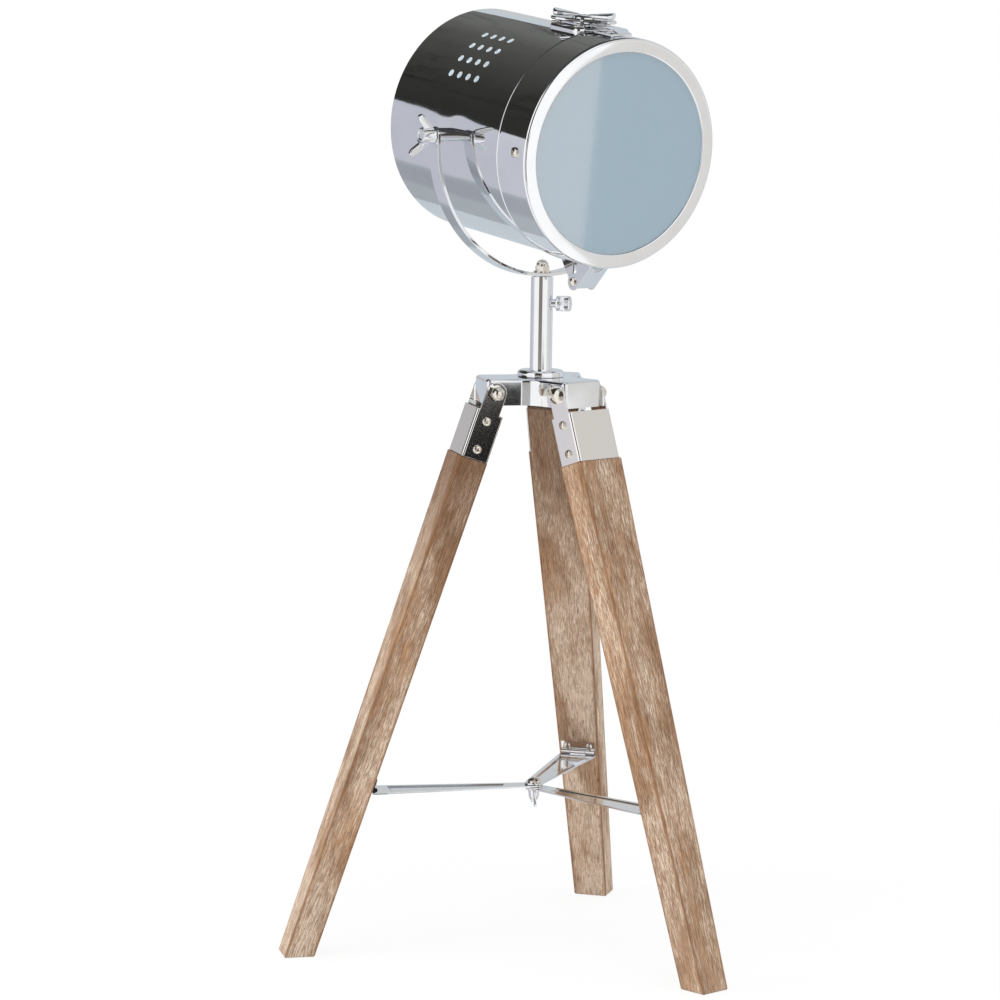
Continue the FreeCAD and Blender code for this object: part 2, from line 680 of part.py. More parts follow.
def spreader_fasteners():
    pins, screws = [], []
    node("spreader_hinges", together(*[spreader_hinge(frame) for frame in LEG_FRAMES.values()]))
    for side, frame in LEG_FRAMES.items():
        pins.append(cylinder(PIN_RADIUS, "brace_hinge_width",
                             chain(frame, move("-(brace_hinge_width / 2)", PIN_STAND_OFF,
                                               "-brace_station"), ALONG_X)))
        for sign in (-1, 1):
            seat = chain(frame, move(f"{sign} * {BRACE_SCREW_SPREAD}",
                                     "leg_depth / 2 + brace_thickness",
                                     f"-{BRACE_SCREW_STATION}"), ALONG_Y)
            screws.append(pan_screw(seat, SCREW_RADIUS, "leg_depth / 2 - 1", 2.3, 1.5))
    node("spreader_hinge_pins", together(*pins))
    node("spreader_screws", together(*screws))
    top = f"({STACK_MIDDLE} + {STACK_STEP} + brace_thickness / 2 + 2 * fit_gap)"
    low = f"({STACK_MIDDLE} - {STACK_STEP} - brace_thickness / 2 - 2 * fit_gap)"
    node("spreader_bolt", pan_screw(None, "brace_bolt_radius", "3 * brace_thickness + 9", 4.9, 3.6),
         chain(POST, move(0, 0, top)))
    washer = cut(cylinder("2 * brace_bolt_radius", 1, move(0, 0, -1)),
                 cylinder("brace_bolt_radius + fit_gap", 9, move(0, 0, -5)))
    node("spreader_washer", washer, chain(POST, move(0, 0, low)))
    wing_nut("spreader_wing_nut",
             chain(POST, move(0, 0, f"{low} - 1 - face_gap"), turn(Z_AXIS, 62), turn(X_AXIS, 180)),
             4.2, 5.5, 10.5, 11.5, 1.8, "brace_bolt_radius + fit_gap")


# ---------------------------------------------------------------- yoke

PIVOT_SLACK = 0.1


def yoke_pieces():
    """A flat band bent to a half ring, with rounded ends at the drum's pivots."""
    end, spring = "(yoke_width / 2)", "-yoke_straight"
    outer, inner = YOKE_OUTER, YOKE_INNER
    profile = [(outer, end), (inner, end), (inner, spring), (f"-{inner}", spring, inner, -1),
               (f"-{inner}", end), (f"-{outer}", end), (f"-{outer}", spring),
               (outer, spring, outer, 1)]
    band = padded("XZ_Plane", profile, "yoke_width")
    top = value(end)

    def end_corner(edge):
        points = edge_points(edge)
        return (len(points) == 2 and all(abs(point.z - top) < 0.01 for point in points)
                and abs(points[0].y - points[1].y) < 0.01)

    dress(band, "Fillet", "Radius", "yoke_width / 2 - 0.02", end_corner)
    pivots = cylinder(f"pivot_stud_radius + {PIVOT_SLACK}", f"4 * {outer}",
                      chain(move(f"-2 * {outer}", 0, 0), ALONG_X))
    stud_hole = cylinder("yoke_stud_radius + fit_gap", "4 * yoke_thickness",
                         move(0, 0, f"-({outer} + yoke_straight + yoke_thickness)"))
    node("yoke", cut(band, pivots, stud_hole), HEAD)
    washer_radius = 6.4
    sag = f"({inner} - sqrt({inner} ^ 2 - {washer_radius} ^ 2))"
    seat = chain(POST, move(0, 0, f"{YOKE_BOTTOM} + yoke_thickness + {sag}"))
    node("yoke_washer",
         cut(cylinder(washer_radius, 1), cylinder("yoke_stud_radius + fit_gap", 3)), seat)
    node("yoke_dome_nut", dome_nut(None, 5.6, 3.4, 4.4, 8.2, "yoke_stud_radius + fit_gap", 6.0),
         chain(seat, move(0, 0, 1)))


def pivot_hardware():
    """Studs from inside the drum carry bushes outside it and clamp the yoke with wing nuts."""
    studs, bushes = [], []
    drum = cylinder("drum_radius", "4 * drum_radius", move(0, 0, "-2 * drum_radius"))
    length = f"{YOKE_OUTER} + face_gap + 9.5 - (drum_radius - drum_wall - 0.2)"
    for sign in (-1, 1):
        outwards = turn(Y_AXIS, 90 * sign)
        studs.append(pan_screw(chain(outwards, move(0, 0, "drum_radius - drum_wall - 0.2"),
                                     turn(X_AXIS, 180)),
                               "pivot_stud_radius", length, 5.0, 3.0))
        bush = cut(cylinder("spacer_radius", "spacer_gap - face_gap + 2"),
                   cylinder("pivot_stud_radius + fit_gap", "2 * spacer_gap", move(0, 0, -2)))
        place(bush, chain(outwards, move(0, 0, "drum_radius - 2")))
        bushes.append(cut(bush, drum))
    node("pivot_studs", together(*studs), BEAM)
    node("pivot_bushes", together(*bushes), BEAM)
    for side, sign in (("left", -1), ("right", 1)):
        wing_nut(f"pivot_wing_nut_{side}",
                 chain(BEAM, turn(Y_AXIS, 90 * sign), move(0, 0, f"{YOKE_OUTER} + face_gap"),
                       turn(Z_AXIS, 90 + 17 * sign)),
                 6.0, 10.5, 16.5, 16.5, 3.0, "pivot_stud_radius + fit_gap")


# ---------------------------------------------------------------- drum

RIVET_RADIUS = 1.5
LATCH_RIVETS = [(f"{sign} * 14.4", station) for sign in (-1, 1)
                for station in ("latch_base_rear + 5", "latch_base_front - 6")]


def upward_hole(radius, x, station, low, height):
    """A cylinder that points up from a height above the beam axis."""
    return cylinder(radius, height, chain(move(x, low, station), ALONG_Y))


def drum_shell():
    """The drum: a plain tube with a field of vent holes on each upper side."""
    inner = "(drum_radius - drum_wall)"
    shell = turned([(inner, "-drum_rear"), ("drum_radius - 0.5", "-drum_rear"),
                    ("drum_radius", "0.5 - drum_rear"), ("drum_radius", "drum_front"),
                    (inner, "drum_front")])
    tools = []
    for sign in (-1, 1):
        for ring in range(4):
            for column in range(4):
                spot = chain(turn(Z_AXIS, f"-{sign} * (vent_angle + {ring} * vent_step)"),
                             move(0, "drum_radius - 4", f"vent_first + {column} * vent_pitch"),
                             ALONG_Y)
                tools.append(cylinder("vent_radius", 8, spot))
        tools.append(cylinder("pivot_stud_radius + fit_gap", 8,
                              chain(turn(Y_AXIS, 90 * sign), move(0, 0, "drum_radius - 4"))))
    for x, station in LATCH_RIVETS:
        tools.append(upward_hole(RIVET_RADIUS + 0.05, x, station, "drum_radius - 6", 8))
    for offset in DRUM_RIVETS:
        tools.append(upward_hole(RIVET_RADIUS + 0.05, 0, f"hinge_station + ({offset})",
                                 "-drum_radius - 4", 8))
    node("drum_shell", cut(shell, *tools), BEAM)


GROMMET_GROOVE = 5.0


def back_pieces():
    """The pressed back, its cable grommet, and the lamp holder on its nipple."""
    skin, flange = "drum_wall", "(drum_radius - drum_wall - fit_gap)"
    rear, dish = "-drum_rear", "(cover_recess - drum_rear)"
    rim = "cover_recess_radius"
    hole = "nipple_radius + fit_gap"
    cover = turned([
        (flange, f"{rear} + 8"), (flange, rear), (f"{rim} + 3", rear), (rim, dish), (hole, dish),
        (hole, f"{dish} + {skin}"), (f"{rim} + 0.6", f"{dish} + {skin}"),
        (f"{rim} + 3.6", f"{rear} + {skin}"), (f"{flange} - {skin}", f"{rear} + {skin}"),
        (f"{flange} - {skin}", f"{rear} + 8")])
    inlet = cylinder(GROMMET_GROOVE + 0.05, 20, move(0, "-cable_drop", "-drum_rear - 5"))
    node("back_cover", cut(cover, inlet), BEAM)
    bore, outer = "cable_bore_radius", GROMMET_GROOVE + 2.2
    node("cable_grommet", turned([
        (bore, -2.5), (outer - 0.8, -2.5), (outer, -1.7), (outer, -0.05), (GROMMET_GROOVE, -0.05),
        (GROMMET_GROOVE, f"{skin} + 0.05"), (outer, f"{skin} + 0.05"), (outer, f"{skin} + 2"),
        (bore, f"{skin} + 2")]), chain(BEAM, move(0, "-cable_drop", dish)))
    seat = f"({dish} + {skin} + 3)"
    node("holder_nipple", turned([
        (0, f"{dish} - 4.2"), ("nipple_radius", f"{dish} - 4.2"),
        ("nipple_radius", f"{seat} + 5"), (0, f"{seat} + 5")]), BEAM)
    node("holder_nut", cut(hexagon("1.6 * nipple_radius", f"{dish} - 4", dish),
                           cylinder("nipple_radius + fit_gap", 30, move(0, 0, f"{dish} - 15"))), BEAM)
    body, mouth, floor = "holder_radius", "bulb_cap_radius + 0.5", f"{seat} + 9"
    front = f"{seat} + holder_length"
    node("lamp_holder", turned([
        ("nipple_radius + fit_gap", f"{seat} - 3"), (11, f"{seat} - 3"), (11, seat),
        (f"{body} - 3", seat), (body, f"{seat} + 3"), (body, front), (mouth, front),
        (mouth, f"{floor} + 12"), (mouth, floor), ("nipple_radius + fit_gap", floor)]), BEAM)
    bulb_pieces(f"({front} - 27)")


def bulb_pieces(end):
    """The bulb, from the contact at its foot: a thin shell, like its glass and its cap."""
    cap, glass, wall = "bulb_cap_radius", "bulb_radius", "bulb_wall"
    centre = f"({end} + bulb_length - bulb_radius)"
    hollow = f"({glass} - {wall})"
    node("bulb", turned([
        (2, end), (f"{cap} - 5", end), (cap, f"{end} + 4"), (cap, f"{end} + 27"),
        (f"{cap} + 2", f"{end} + 34"), (f"0.9 * {glass}", f"{centre} - sqrt(0.19) * {glass}"),
        (0, f"{centre} + {glass}", glass, 1), (0, f"{centre} + {hollow}"),
        (f"0.9 * {hollow}", f"{centre} - sqrt(0.19) * {hollow}", hollow, -1),
        (f"{cap} + 2 - {wall}", f"{end} + 34"), (f"{cap} - {wall}", f"{end} + 27"),
        (f"{cap} - {wall}", f"{end} + 5"), (2, f"{end} + 5")]), BEAM)


# ---------------------------------------------------------------- door

SKIRT_INNER = "(drum_radius + skirt_gap)"
SKIRT_OUTER = "(drum_radius + skirt_gap + skirt_wall)"
LENS_FRONT = "(ring_front - ring_thickness - fit_gap)"
LENS_REAR = f"({LENS_FRONT} - lens_thickness)"
LIP_FRONT = f"({LENS_REAR} - gasket_thickness - 2 * fit_gap)"
RETAINER_SCREW = f"({LIP_FRONT} - 0.6 * retainer_depth)"
RING_OPENING = f"({SKIRT_OUTER} - ring_width)"
DOOR_RIVETS = (7.2, 12.8)         # in front of the hinge pin
DRUM_RIVETS = (-8.0, -15.0)       # behind it


def door_pieces():
    """The door: a spun cap whose front is a flat ring, with its lens and the lens's ring."""
    inner, outer = SKIRT_INNER, SKIRT_OUTER
    cap = turned([
        (inner, "skirt_rear"), (outer, "skirt_rear"), (outer, "ring_front - 1.4"),
        (f"{outer} - 1.4", "ring_front", 1.4, 1), (f"{RING_OPENING} + 0.5", "ring_front"),
        (RING_OPENING, "ring_front - 0.5"), (RING_OPENING, "ring_front - ring_thickness"),
        (inner, "ring_front - ring_thickness")])
    tools = [cylinder(SCREW_RADIUS + 0.05, 9, chain(turn(Z_AXIS, angle),
                                                    move(f"{inner} - 4", 0, RETAINER_SCREW), ALONG_X))
             for angle in (0, 180)]
    for offset in DOOR_RIVETS:
        tools.append(upward_hole(RIVET_RADIUS + 0.05, 0, f"hinge_station + {offset}",
                                 f"-{outer} - 4", 8))
    node("door_cap", cut(cap, *tools), BEAM)
    glass = f"({inner} - 2 * fit_gap)"
    node("lens", turned([(0, LENS_REAR), (glass, LENS_REAR), (glass, LENS_FRONT), (0, LENS_FRONT)]),
         BEAM)
    node("lens_gasket", turned([
        (f"{RING_OPENING} + 1", f"{LENS_REAR} - fit_gap - gasket_thickness"),
        (glass, f"{LENS_REAR} - fit_gap - gasket_thickness"),
        (glass, f"{LENS_REAR} - fit_gap"), (f"{RING_OPENING} + 1", f"{LENS_REAR} - fit_gap")]),
        BEAM)
    band = f"({inner} - fit_gap)"
    ring = turned([
        (f"{band} - 1.5", f"{LIP_FRONT} - retainer_depth"), (band, f"{LIP_FRONT} - retainer_depth"),
        (band, LIP_FRONT), (f"{RING_OPENING} + 1.5", LIP_FRONT),
        (f"{RING_OPENING} + 1.5", f"{LIP_FRONT} - 1"), (f"{band} - 1.5", f"{LIP_FRONT} - 1")])
    holes = [cylinder(SCREW_RADIUS + 0.05, 9, chain(turn(Z_AXIS, angle),
                                                    move(f"{inner} - 5", 0, RETAINER_SCREW), ALONG_X))
             for angle in (0, 180)]
    node("lens_retainer", cut(ring, *holes), BEAM)
    screws = [pan_screw(chain(turn(Y_AXIS, 90 * sign), move(f"-{sign} * {RETAINER_SCREW}", 0, outer)),
                        SCREW_RADIUS, 4.5, 2.9, 1.9) for sign in (-1, 1)]
    node("retainer_screws", together(*screws), BEAM)


# ---------------------------------------------------------------- door hinge

EAR_GAP = 0.3
WEB_GAP = 0.4                     # between the drum's ears and the web of the door leaf
WEB_NOTCH = 4.0                   # radius of the half-round notch in the web
WEB_SHIFT = 1.3                   # the web's slope: its thickness along the beam, in sheets
HINGE_PIN = "(-drum_radius - hinge_drop)"
DOOR_EAR_OUT = "hinge_half_width"
DOOR_EAR_IN = "(hinge_half_width - hinge_sheet)"
DRUM_EAR_OUT = f"({DOOR_EAR_IN} - {EAR_GAP})"
DRUM_EAR_IN = f"({DRUM_EAR_OUT} - hinge_sheet)"
DOOR_BOSS = "hinge_boss"
DRUM_BOSS = f"(hinge_boss - hinge_sheet - {WEB_GAP})"


def hinge_leaf(label, sign, top, ear_out, ear_in, boss, rivets):
    """A channel riveted under the drum or the door, with a triangular ear on each side.

    sign is 1 for the leaf in front of the pin and -1 for the one behind it. The front leaf
    has a web along the slope of its ears, with a half-round notch at its top.
    """
    def at(forward):
        return f"hinge_station + {sign} * ({forward})"

    pin = HINGE_PIN
    ear = padded("YZ_Plane", [
        (f"-{top}", at(3.1)), (f"-{top}", at("hinge_reach")), (f"-{top} - 1.5", at("hinge_reach")),
        (f"{pin} - 0.65 * {boss}", at(f"0.76 * {boss}")), (pin, at(0)),
        (f"{pin} + 0.86 * {boss}", at(f"-0.5 * {boss}")), (f"{pin} + 1.05 * {boss}", at(0)),
        (f"{pin} + 1.15 * {boss}", at(3.1))], f"2 * {ear_out}")
    disc = cylinder(boss, f"2 * {ear_out}", chain(move(f"-{ear_out}", pin, at(0)), ALONG_X))
    channel = block((f"-{ear_in}", f"{pin} - 2 * {boss}", at(0) + " - 40"),
                    (ear_in, f"-{top} - hinge_sheet", at(0) + " + 40"))
    pin_hole = cylinder("hinge_pin_radius + fit_gap", f"6 * {ear_out}",
                        chain(move(f"-3 * {ear_out}", pin, at(0)), ALONG_X))
    rivet_holes = [upward_hole(RIVET_RADIUS + 0.05, 0, f"hinge_station + ({offset})", f"-{top} - 4", 8)
                   for offset in rivets]
    leaf = cut(fuse(ear, disc), channel, pin_hole, *rivet_holes)
    if sign > 0:
        behind = f"{WEB_SHIFT} * hinge_sheet"
        low, high = f"{pin} - 0.65 * {boss}", f"-{top} - 1.5"
        web = padded("YZ_Plane", [
            (low, at(f"0.76 * {boss}")), (high, at("hinge_reach")),
            (high, at(f"hinge_reach - {behind}")),
            (low, at(f"0.76 * {boss} - {behind}"))], f"2 * {ear_out}")
        notch = cylinder(WEB_NOTCH, "2 * hinge_reach", move(0, high, "hinge_station"))
        leaf = fuse(leaf, cut(web, notch))
    node(label, leaf, BEAM)


RIVET_SLACK = 0.06                # between a rivet's inner head and the sheet


def rivet_down(radius, x, station, outside, inside, head_radius, head_height):
    """A rivet under the head: one head below the outer face, one above the inner face."""
    shank = f"({inside}) - ({outside}) + {RIVET_SLACK}"
    rivet = turned([
        (0, -head_height), (head_radius * 0.7, -head_height), (head_radius, -head_height * 0.5),
        (head_radius, 0), (radius, 0), (radius, shank), (head_radius, shank),
        (head_radius * 0.8, f"{shank} + {head_height * 0.8}"), (0, f"{shank} + {head_height * 0.8}")])
    return place(rivet, chain(move(x, outside, station), turn(X_AXIS, -90)))


def hinge_hardware():
    pin, end = HINGE_PIN, DOOR_EAR_OUT
    at_pin = chain(BEAM, move(0, pin, "hinge_station"))
    node("hinge_pin", pan_screw(None, "hinge_pin_radius", f"2 * {end} + 3.4", 3.2, 2.2),
         chain(at_pin, move(f"-{end} - 0.1", 0, 0), turn(Y_AXIS, -90)))
    hole = "hinge_pin_radius + fit_gap"
    node("hinge_nut", cut(hexagon(3.6, 0, 2.4), cylinder(hole, 9, move(0, 0, -2))),
         chain(at_pin, move(f"{end} + 0.2", 0, 0), ALONG_X))
    half = f"({DRUM_EAR_IN} - fit_gap)"
    barrel = cut(cylinder(3.4, f"2 * {half}", move(0, 0, f"-{half}")),
                 cylinder(hole, 60, move(0, 0, -30)))
    node("hinge_barrel", barrel, chain(at_pin, ALONG_X))
    plate = "hinge_sheet"
    node("drum_hinge_rivets", together(*[
        rivet_down(RIVET_RADIUS, 0, f"hinge_station + ({offset})", f"-drum_radius - {plate}",
                   "-drum_radius + drum_wall", 2.5, 1.1) for offset in DRUM_RIVETS]), BEAM)
    node("door_hinge_rivets", together(*[
        rivet_down(RIVET_RADIUS, 0, f"hinge_station + {offset}", f"-{SKIRT_OUTER} - {plate}",
                   f"-{SKIRT_INNER}", 2.5, 1.1) for offset in DOOR_RIVETS]), BEAM)


# ---------------------------------------------------------------- latch

BASE_TOP = "(drum_radius + latch_base_top)"
SLIDE_LOW = f"({BASE_TOP} + face_gap)"
SLIDE_TOP = f"({SLIDE_LOW} + 1.6)"
DISC_LOW = f"({SLIDE_TOP} + face_gap)"
DISC_TOP = f"({DISC_LOW} + 2.2)"
SLIDE_HALF = 10.0
CAM_SLACK = 0.8
CLAW_AXIS = f"({SLIDE_LOW} + 1.4)"
CLAW_KNUCKLE = 1.5
CLAW_PIN = 0.7
CENTRE_KNUCKLE = 3.5


def latch_base():
    """A saddle on the drum with a rail along each side of the slide."""
    half = "latch_base_half"
    plate = block((f"-{half}", "drum_radius - 3", "latch_base_rear"),
                  (half, BASE_TOP, "latch_base_front"))
    rails = [block((x, BASE_TOP, "latch_base_rear"), (f"{x} + 1.4", f"{BASE_TOP} + 1.5",
                                                      "latch_base_front"))
             for x in (SLIDE_HALF + 0.3, -SLIDE_HALF - 1.7)]
    drum = cylinder("drum_radius", "4 * drum_radius", move(0, 0, "-2 * drum_radius"))
    holes = [upward_hole(RIVET_RADIUS + 0.05, x, station, "drum_radius - 6", 12)
             for x, station in LATCH_RIVETS]
    axle_hole = upward_hole("latch_axle_radius + fit_gap", 0, "latch_station", "drum_radius - 3", 9)
    node("latch_base", cut(fuse(plate, *rails), drum, axle_hole, *holes), BEAM)
    rivets = []
    for x, station in LATCH_RIVETS:
        rivet = turned([(0, "-latch_base_top - 4"), (2.4, "-latch_base_top - 4"),
                        (2.4, "-latch_base_top - 3.2"), (RIVET_RADIUS, "-latch_base_top - 3.2"),
                        (RIVET_RADIUS, 0), (2.2, 0), (2.0, 0.7), (1.2, 1.1), (0, 1.1)])
        rivets.append(place(rivet, chain(move(x, BASE_TOP, station), ALONG_Y)))
    node("latch_rivets", together(*rivets), BEAM)
    low, top = "drum_radius", f"{DISC_TOP} + 1.5"
    node("latch_axle", turned([
        (0, low), ("latch_axle_radius", low), ("latch_axle_radius", top), (3.2, top),
        (2.8, f"{top} + 0.8"), (0, f"{top} + 1")]), LATCH)


def latch_handle():
    """The butterfly handle: two upswept wings on a disc, over an eccentric cam."""
    disc = turned([(0, DISC_LOW), ("latch_disc_radius - 0.8", DISC_LOW),
                   ("latch_disc_radius", f"{DISC_LOW} + 0.8"),
                   ("latch_disc_radius", f"{DISC_TOP} - 0.8"), ("latch_disc_radius - 0.8", DISC_TOP),
                   (5, DISC_TOP), (4.5, f"{DISC_TOP} + 1.2"), (0, f"{DISC_TOP} + 1.2")])
    cam = cylinder("latch_cam_radius", f"{DISC_LOW} - {SLIDE_LOW}",
                   move(0, "latch_throw", SLIDE_LOW))
    reach = "latch_wing_reach"
    rise = mirrored_pair([
        (1, f"{DISC_TOP} - 0.5"), (f"0.5 * {reach}", f"{DISC_TOP} - 0.2"),
        (f"0.8 * {reach}", f"{DISC_TOP} + 1.6"), (reach, f"{DISC_TOP} + 4.2"),
        (f"{reach} - 0.9", f"{DISC_TOP} + 5.2"), (f"0.76 * {reach}", f"{DISC_TOP} + 3.0"),
        (f"0.5 * {reach}", f"{DISC_TOP} + 1.2"), (1, f"{DISC_TOP} + 1")])
    plan = mirrored_pair([
        (1, -2.6), (f"0.5 * {reach}", -4.2), (f"0.84 * {reach}", -5.6), (f"{reach}", -3.8),
        (f"{reach} + 0.2", 0), (f"{reach}", 3.8), (f"0.84 * {reach}", 5.6),
        (f"0.5 * {reach}", 4.2), (1, 2.6)])
    wings = common(padded("XZ_Plane", rise, 40),
                   place(padded("XY_Plane", plan, 60, False), move(0, 0, f"{DISC_TOP} - 20")))
    place(wings, turn(Z_AXIS, -45))
    bore = cylinder("latch_axle_radius + fit_gap", 60, move(0, 0, f"{DISC_TOP} - 30"))
    recess = cylinder(4.5, 30, move(0, 0, f"{DISC_TOP} + 1.3"))
    node("latch_handle", cut(fuse(disc, cam, wings), bore, recess), LATCH)


def latch_slide():
    """The slide that the cam drives: a plate with a window, and a knuckle for the claw."""
    window_mid = "latch_station - latch_throw"
    window = f"(latch_cam_radius + {CAM_SLACK})"
    side = "(latch_cam_radius + latch_throw + face_gap)"
    front = "(claw_station - 1.2)"
    plate = block((-SLIDE_HALF, SLIDE_LOW, "latch_base_rear + 3"), (SLIDE_HALF, SLIDE_TOP, front))
    opening = block((f"-{side}", f"{SLIDE_LOW} - 5", f"{window_mid} - {window}"),
                    (side, f"{SLIDE_TOP} + 5", f"{window_mid} + {window}"))
    knuckle = fuse(cylinder(CLAW_KNUCKLE, 2 * CENTRE_KNUCKLE,
                            chain(move(-CENTRE_KNUCKLE, CLAW_AXIS, "claw_station"), ALONG_X)),
                   block((-CENTRE_KNUCKLE, SLIDE_LOW, f"{front} - 1"),
                         (CENTRE_KNUCKLE, SLIDE_TOP, "claw_station")))
    pin_hole = cylinder(CLAW_PIN + 0.05, 60, chain(move(-30, CLAW_AXIS, "claw_station"), ALONG_X))
    clear = [block((x, f"{SLIDE_LOW} - 1", f"claw_station - {CLAW_KNUCKLE + 0.35}"),
                   (f"{x} + 9", f"{SLIDE_TOP} + 1", "claw_station + 9"))
             for x in (CENTRE_KNUCKLE, -CENTRE_KNUCKLE - 9)]
    node("latch_slide", cut(fuse(plate, knuckle), opening, pin_hole, *clear), BEAM)
    node("claw_pin", cylinder(CLAW_PIN, 15.8),
         chain(BEAM, move(-7.9, CLAW_AXIS, "claw_station"), ALONG_X))


def latch_claw():
    """The claw: it reaches over the seam and its tip stands in front of the keeper's lip."""
    low, top = f"{CLAW_AXIS} - 0.5", f"{CLAW_AXIS} + 0.7"
    side_view = [
        (low, "claw_station"), (low, "claw_tip - 10"), (f"{CLAW_AXIS} - 2.3", "claw_tip - 1.4"),
        (f"{CLAW_AXIS} - 2.8", "claw_tip - 1.4"), (f"{CLAW_AXIS} - 2.8", "claw_tip - 0.3"),
        (f"{CLAW_AXIS} - 1.7", "claw_tip"), (top, "claw_tip - 9.6"), (top, "claw_station")]
    arm = padded("YZ_Plane", side_view, 16)
    knuckles = cylinder(CLAW_KNUCKLE, 15.6, chain(move(-7.8, CLAW_AXIS, "claw_station"), ALONG_X))
    gap = CENTRE_KNUCKLE + 0.15
    notch = block((-gap, f"{CLAW_AXIS} - 5", "claw_station - 3"),
                  (gap, f"{CLAW_AXIS} + 5", f"claw_station + {CLAW_KNUCKLE + 0.4}"))
    pin_hole = cylinder(CLAW_PIN + 0.05, 60, chain(move(-30, CLAW_AXIS, "claw_station"), ALONG_X))
    nose = [block((x, f"{CLAW_AXIS} - 5", "claw_tip - 7"), (f"{x} + 4", f"{CLAW_AXIS} + 5",
                                                          "claw_tip + 2")) for x in (6, -10)]
    node("latch_claw", cut(fuse(arm, knuckles), notch, pin_hole, *nose), BEAM)


def keeper():
    """The keeper: a saddle welded on the door's skirt, with a low lip for the claw."""
    top = f"({SKIRT_OUTER} + 0.8)"
    plate = block((-9, f"{SKIRT_OUTER} - 2", "skirt_rear + 3"), (9, top, "claw_tip - 4"))
    lip = block((-5, f"{SKIRT_OUTER} + 0.2", "claw_tip - 10.4"),
                (5, f"{top} + 0.6", "claw_tip - 7.9"))
    skirt = cylinder(SKIRT_OUTER, "4 * drum_radius", move(0, 0, "-2 * drum_radius"))
    node("keeper", cut(fuse(plate, lip), skirt), BEAM)


# ---------------------------------------------------------------- the whole lamp


def build():
    hub_casting()
    post_pieces()
    thumb_screw()
    for side in LEGS:
        wooden_leg(side)
        leg_bracket(side)
        spreader_arm(side)
    leg_fasteners()
    spreader_fasteners()
    yoke_pieces()
    pivot_hardware()
    drum_shell()
    back_pieces()
    door_pieces()
    hinge_leaf("door_hinge_leaf", 1, SKIRT_OUTER, DOOR_EAR_OUT, DOOR_EAR_IN, DOOR_BOSS,
               DOOR_RIVETS)
    hinge_leaf("drum_hinge_leaf", -1, "drum_radius", DRUM_EAR_OUT, DRUM_EAR_IN, DRUM_BOSS,
               DRUM_RIVETS)
    hinge_hardware()
    latch_base()
    latch_handle()
    latch_slide()
    latch_claw()
    keeper()
    doc.recompute()


def check():
    """Stops before anything is written if an object failed or a shape is unsound."""
    for obj in doc.Objects:
        if {"Invalid", "Error"} & set(obj.State):
            raise RuntimeError(f"{obj.Name} ({obj.Label}) is {obj.State}")
    for obj in NODES:
        if obj.Shape.isNull() or not obj.Shape.isValid() or not obj.Shape.Solids:
            raise RuntimeError(f"{obj.Label} has no sound shape")


def write():
    os.makedirs("parts", exist_ok=True)
    for obj in NODES:
        obj.Shape.exportStep(f"parts/{obj.Label}.step")
    print(len(NODES), "sub-parts written")


build()
check()
write()
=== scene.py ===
"""Tabletop searchlight lamp on a wooden tripod: visual pieces, finishes and studio."""

import json
import math

import bmesh
import bpy
from bpy.props import FloatProperty, FloatVectorProperty, IntProperty, PointerProperty
from mathutils import Matrix, Vector

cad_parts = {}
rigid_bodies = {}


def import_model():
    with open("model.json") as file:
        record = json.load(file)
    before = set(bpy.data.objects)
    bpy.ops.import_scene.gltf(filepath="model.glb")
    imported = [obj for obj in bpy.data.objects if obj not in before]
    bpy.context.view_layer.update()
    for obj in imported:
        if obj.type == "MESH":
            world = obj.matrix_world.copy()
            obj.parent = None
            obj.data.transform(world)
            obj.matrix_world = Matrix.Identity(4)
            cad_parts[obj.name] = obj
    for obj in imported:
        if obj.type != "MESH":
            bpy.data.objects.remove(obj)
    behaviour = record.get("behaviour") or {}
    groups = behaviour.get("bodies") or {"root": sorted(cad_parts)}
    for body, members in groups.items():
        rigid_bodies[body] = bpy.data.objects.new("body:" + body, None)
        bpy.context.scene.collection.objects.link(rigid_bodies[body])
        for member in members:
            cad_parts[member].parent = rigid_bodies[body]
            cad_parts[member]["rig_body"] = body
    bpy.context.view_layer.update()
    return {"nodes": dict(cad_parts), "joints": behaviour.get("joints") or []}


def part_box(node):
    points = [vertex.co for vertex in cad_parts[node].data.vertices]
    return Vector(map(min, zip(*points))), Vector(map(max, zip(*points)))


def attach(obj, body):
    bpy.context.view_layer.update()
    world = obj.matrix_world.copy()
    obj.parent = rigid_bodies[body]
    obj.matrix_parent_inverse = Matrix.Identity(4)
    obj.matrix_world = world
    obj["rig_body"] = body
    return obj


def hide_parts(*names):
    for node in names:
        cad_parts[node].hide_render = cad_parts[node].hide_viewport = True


bl_info = {
    "name": "Searchlight lamp",
    "version": (1, 0, 0),
    "blender": (4, 5, 0),
    "location": "View3D > Sidebar > Lamp",
    "description": "Visual pieces, finishes and studio of a tabletop searchlight lamp",
    "category": "Object",
}

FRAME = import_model()
JOINTS = {joint["name"]: joint for joint in FRAME["joints"]}
SLOTS = {name: piece.data.materials[0].name for name, piece in FRAME["nodes"].items()}

MM = 0.001
WHITE = (1.0, 1.0, 1.0, 1.0)
PIVOT = Vector(JOINTS["head_tilt"]["pos_m"])
FORWARD = Vector(JOINTS["latch_slide_travel"]["axis"])
UP = Vector(JOINTS["latch_turn"]["axis"])
SIDE = Vector((1.0, 0.0, 0.0))
POST = Vector((PIVOT.x, PIVOT.y, 0.0))
AZIMUTHS = {"right": 9.0, "back": 129.0, "left": -111.0}
LEG_SPLAY = 18.7
LEG_PIVOT_RADIUS = 37.2 * MM
LEG_PIVOT_HEIGHT = 408.248 * MM
LEG_DEPTH = 21.0 * MM
LEG_TOP_WIDTH = 43.4 * MM
LEG_FOOT_WIDTH = 25.3 * MM
LEG_LENGTH = 431.0 * MM


# ---- settings


def number(name, description, default, low, high, unit="NONE"):
    return FloatProperty(name=name, description=description, default=default, min=low, max=high,
                         unit=unit)


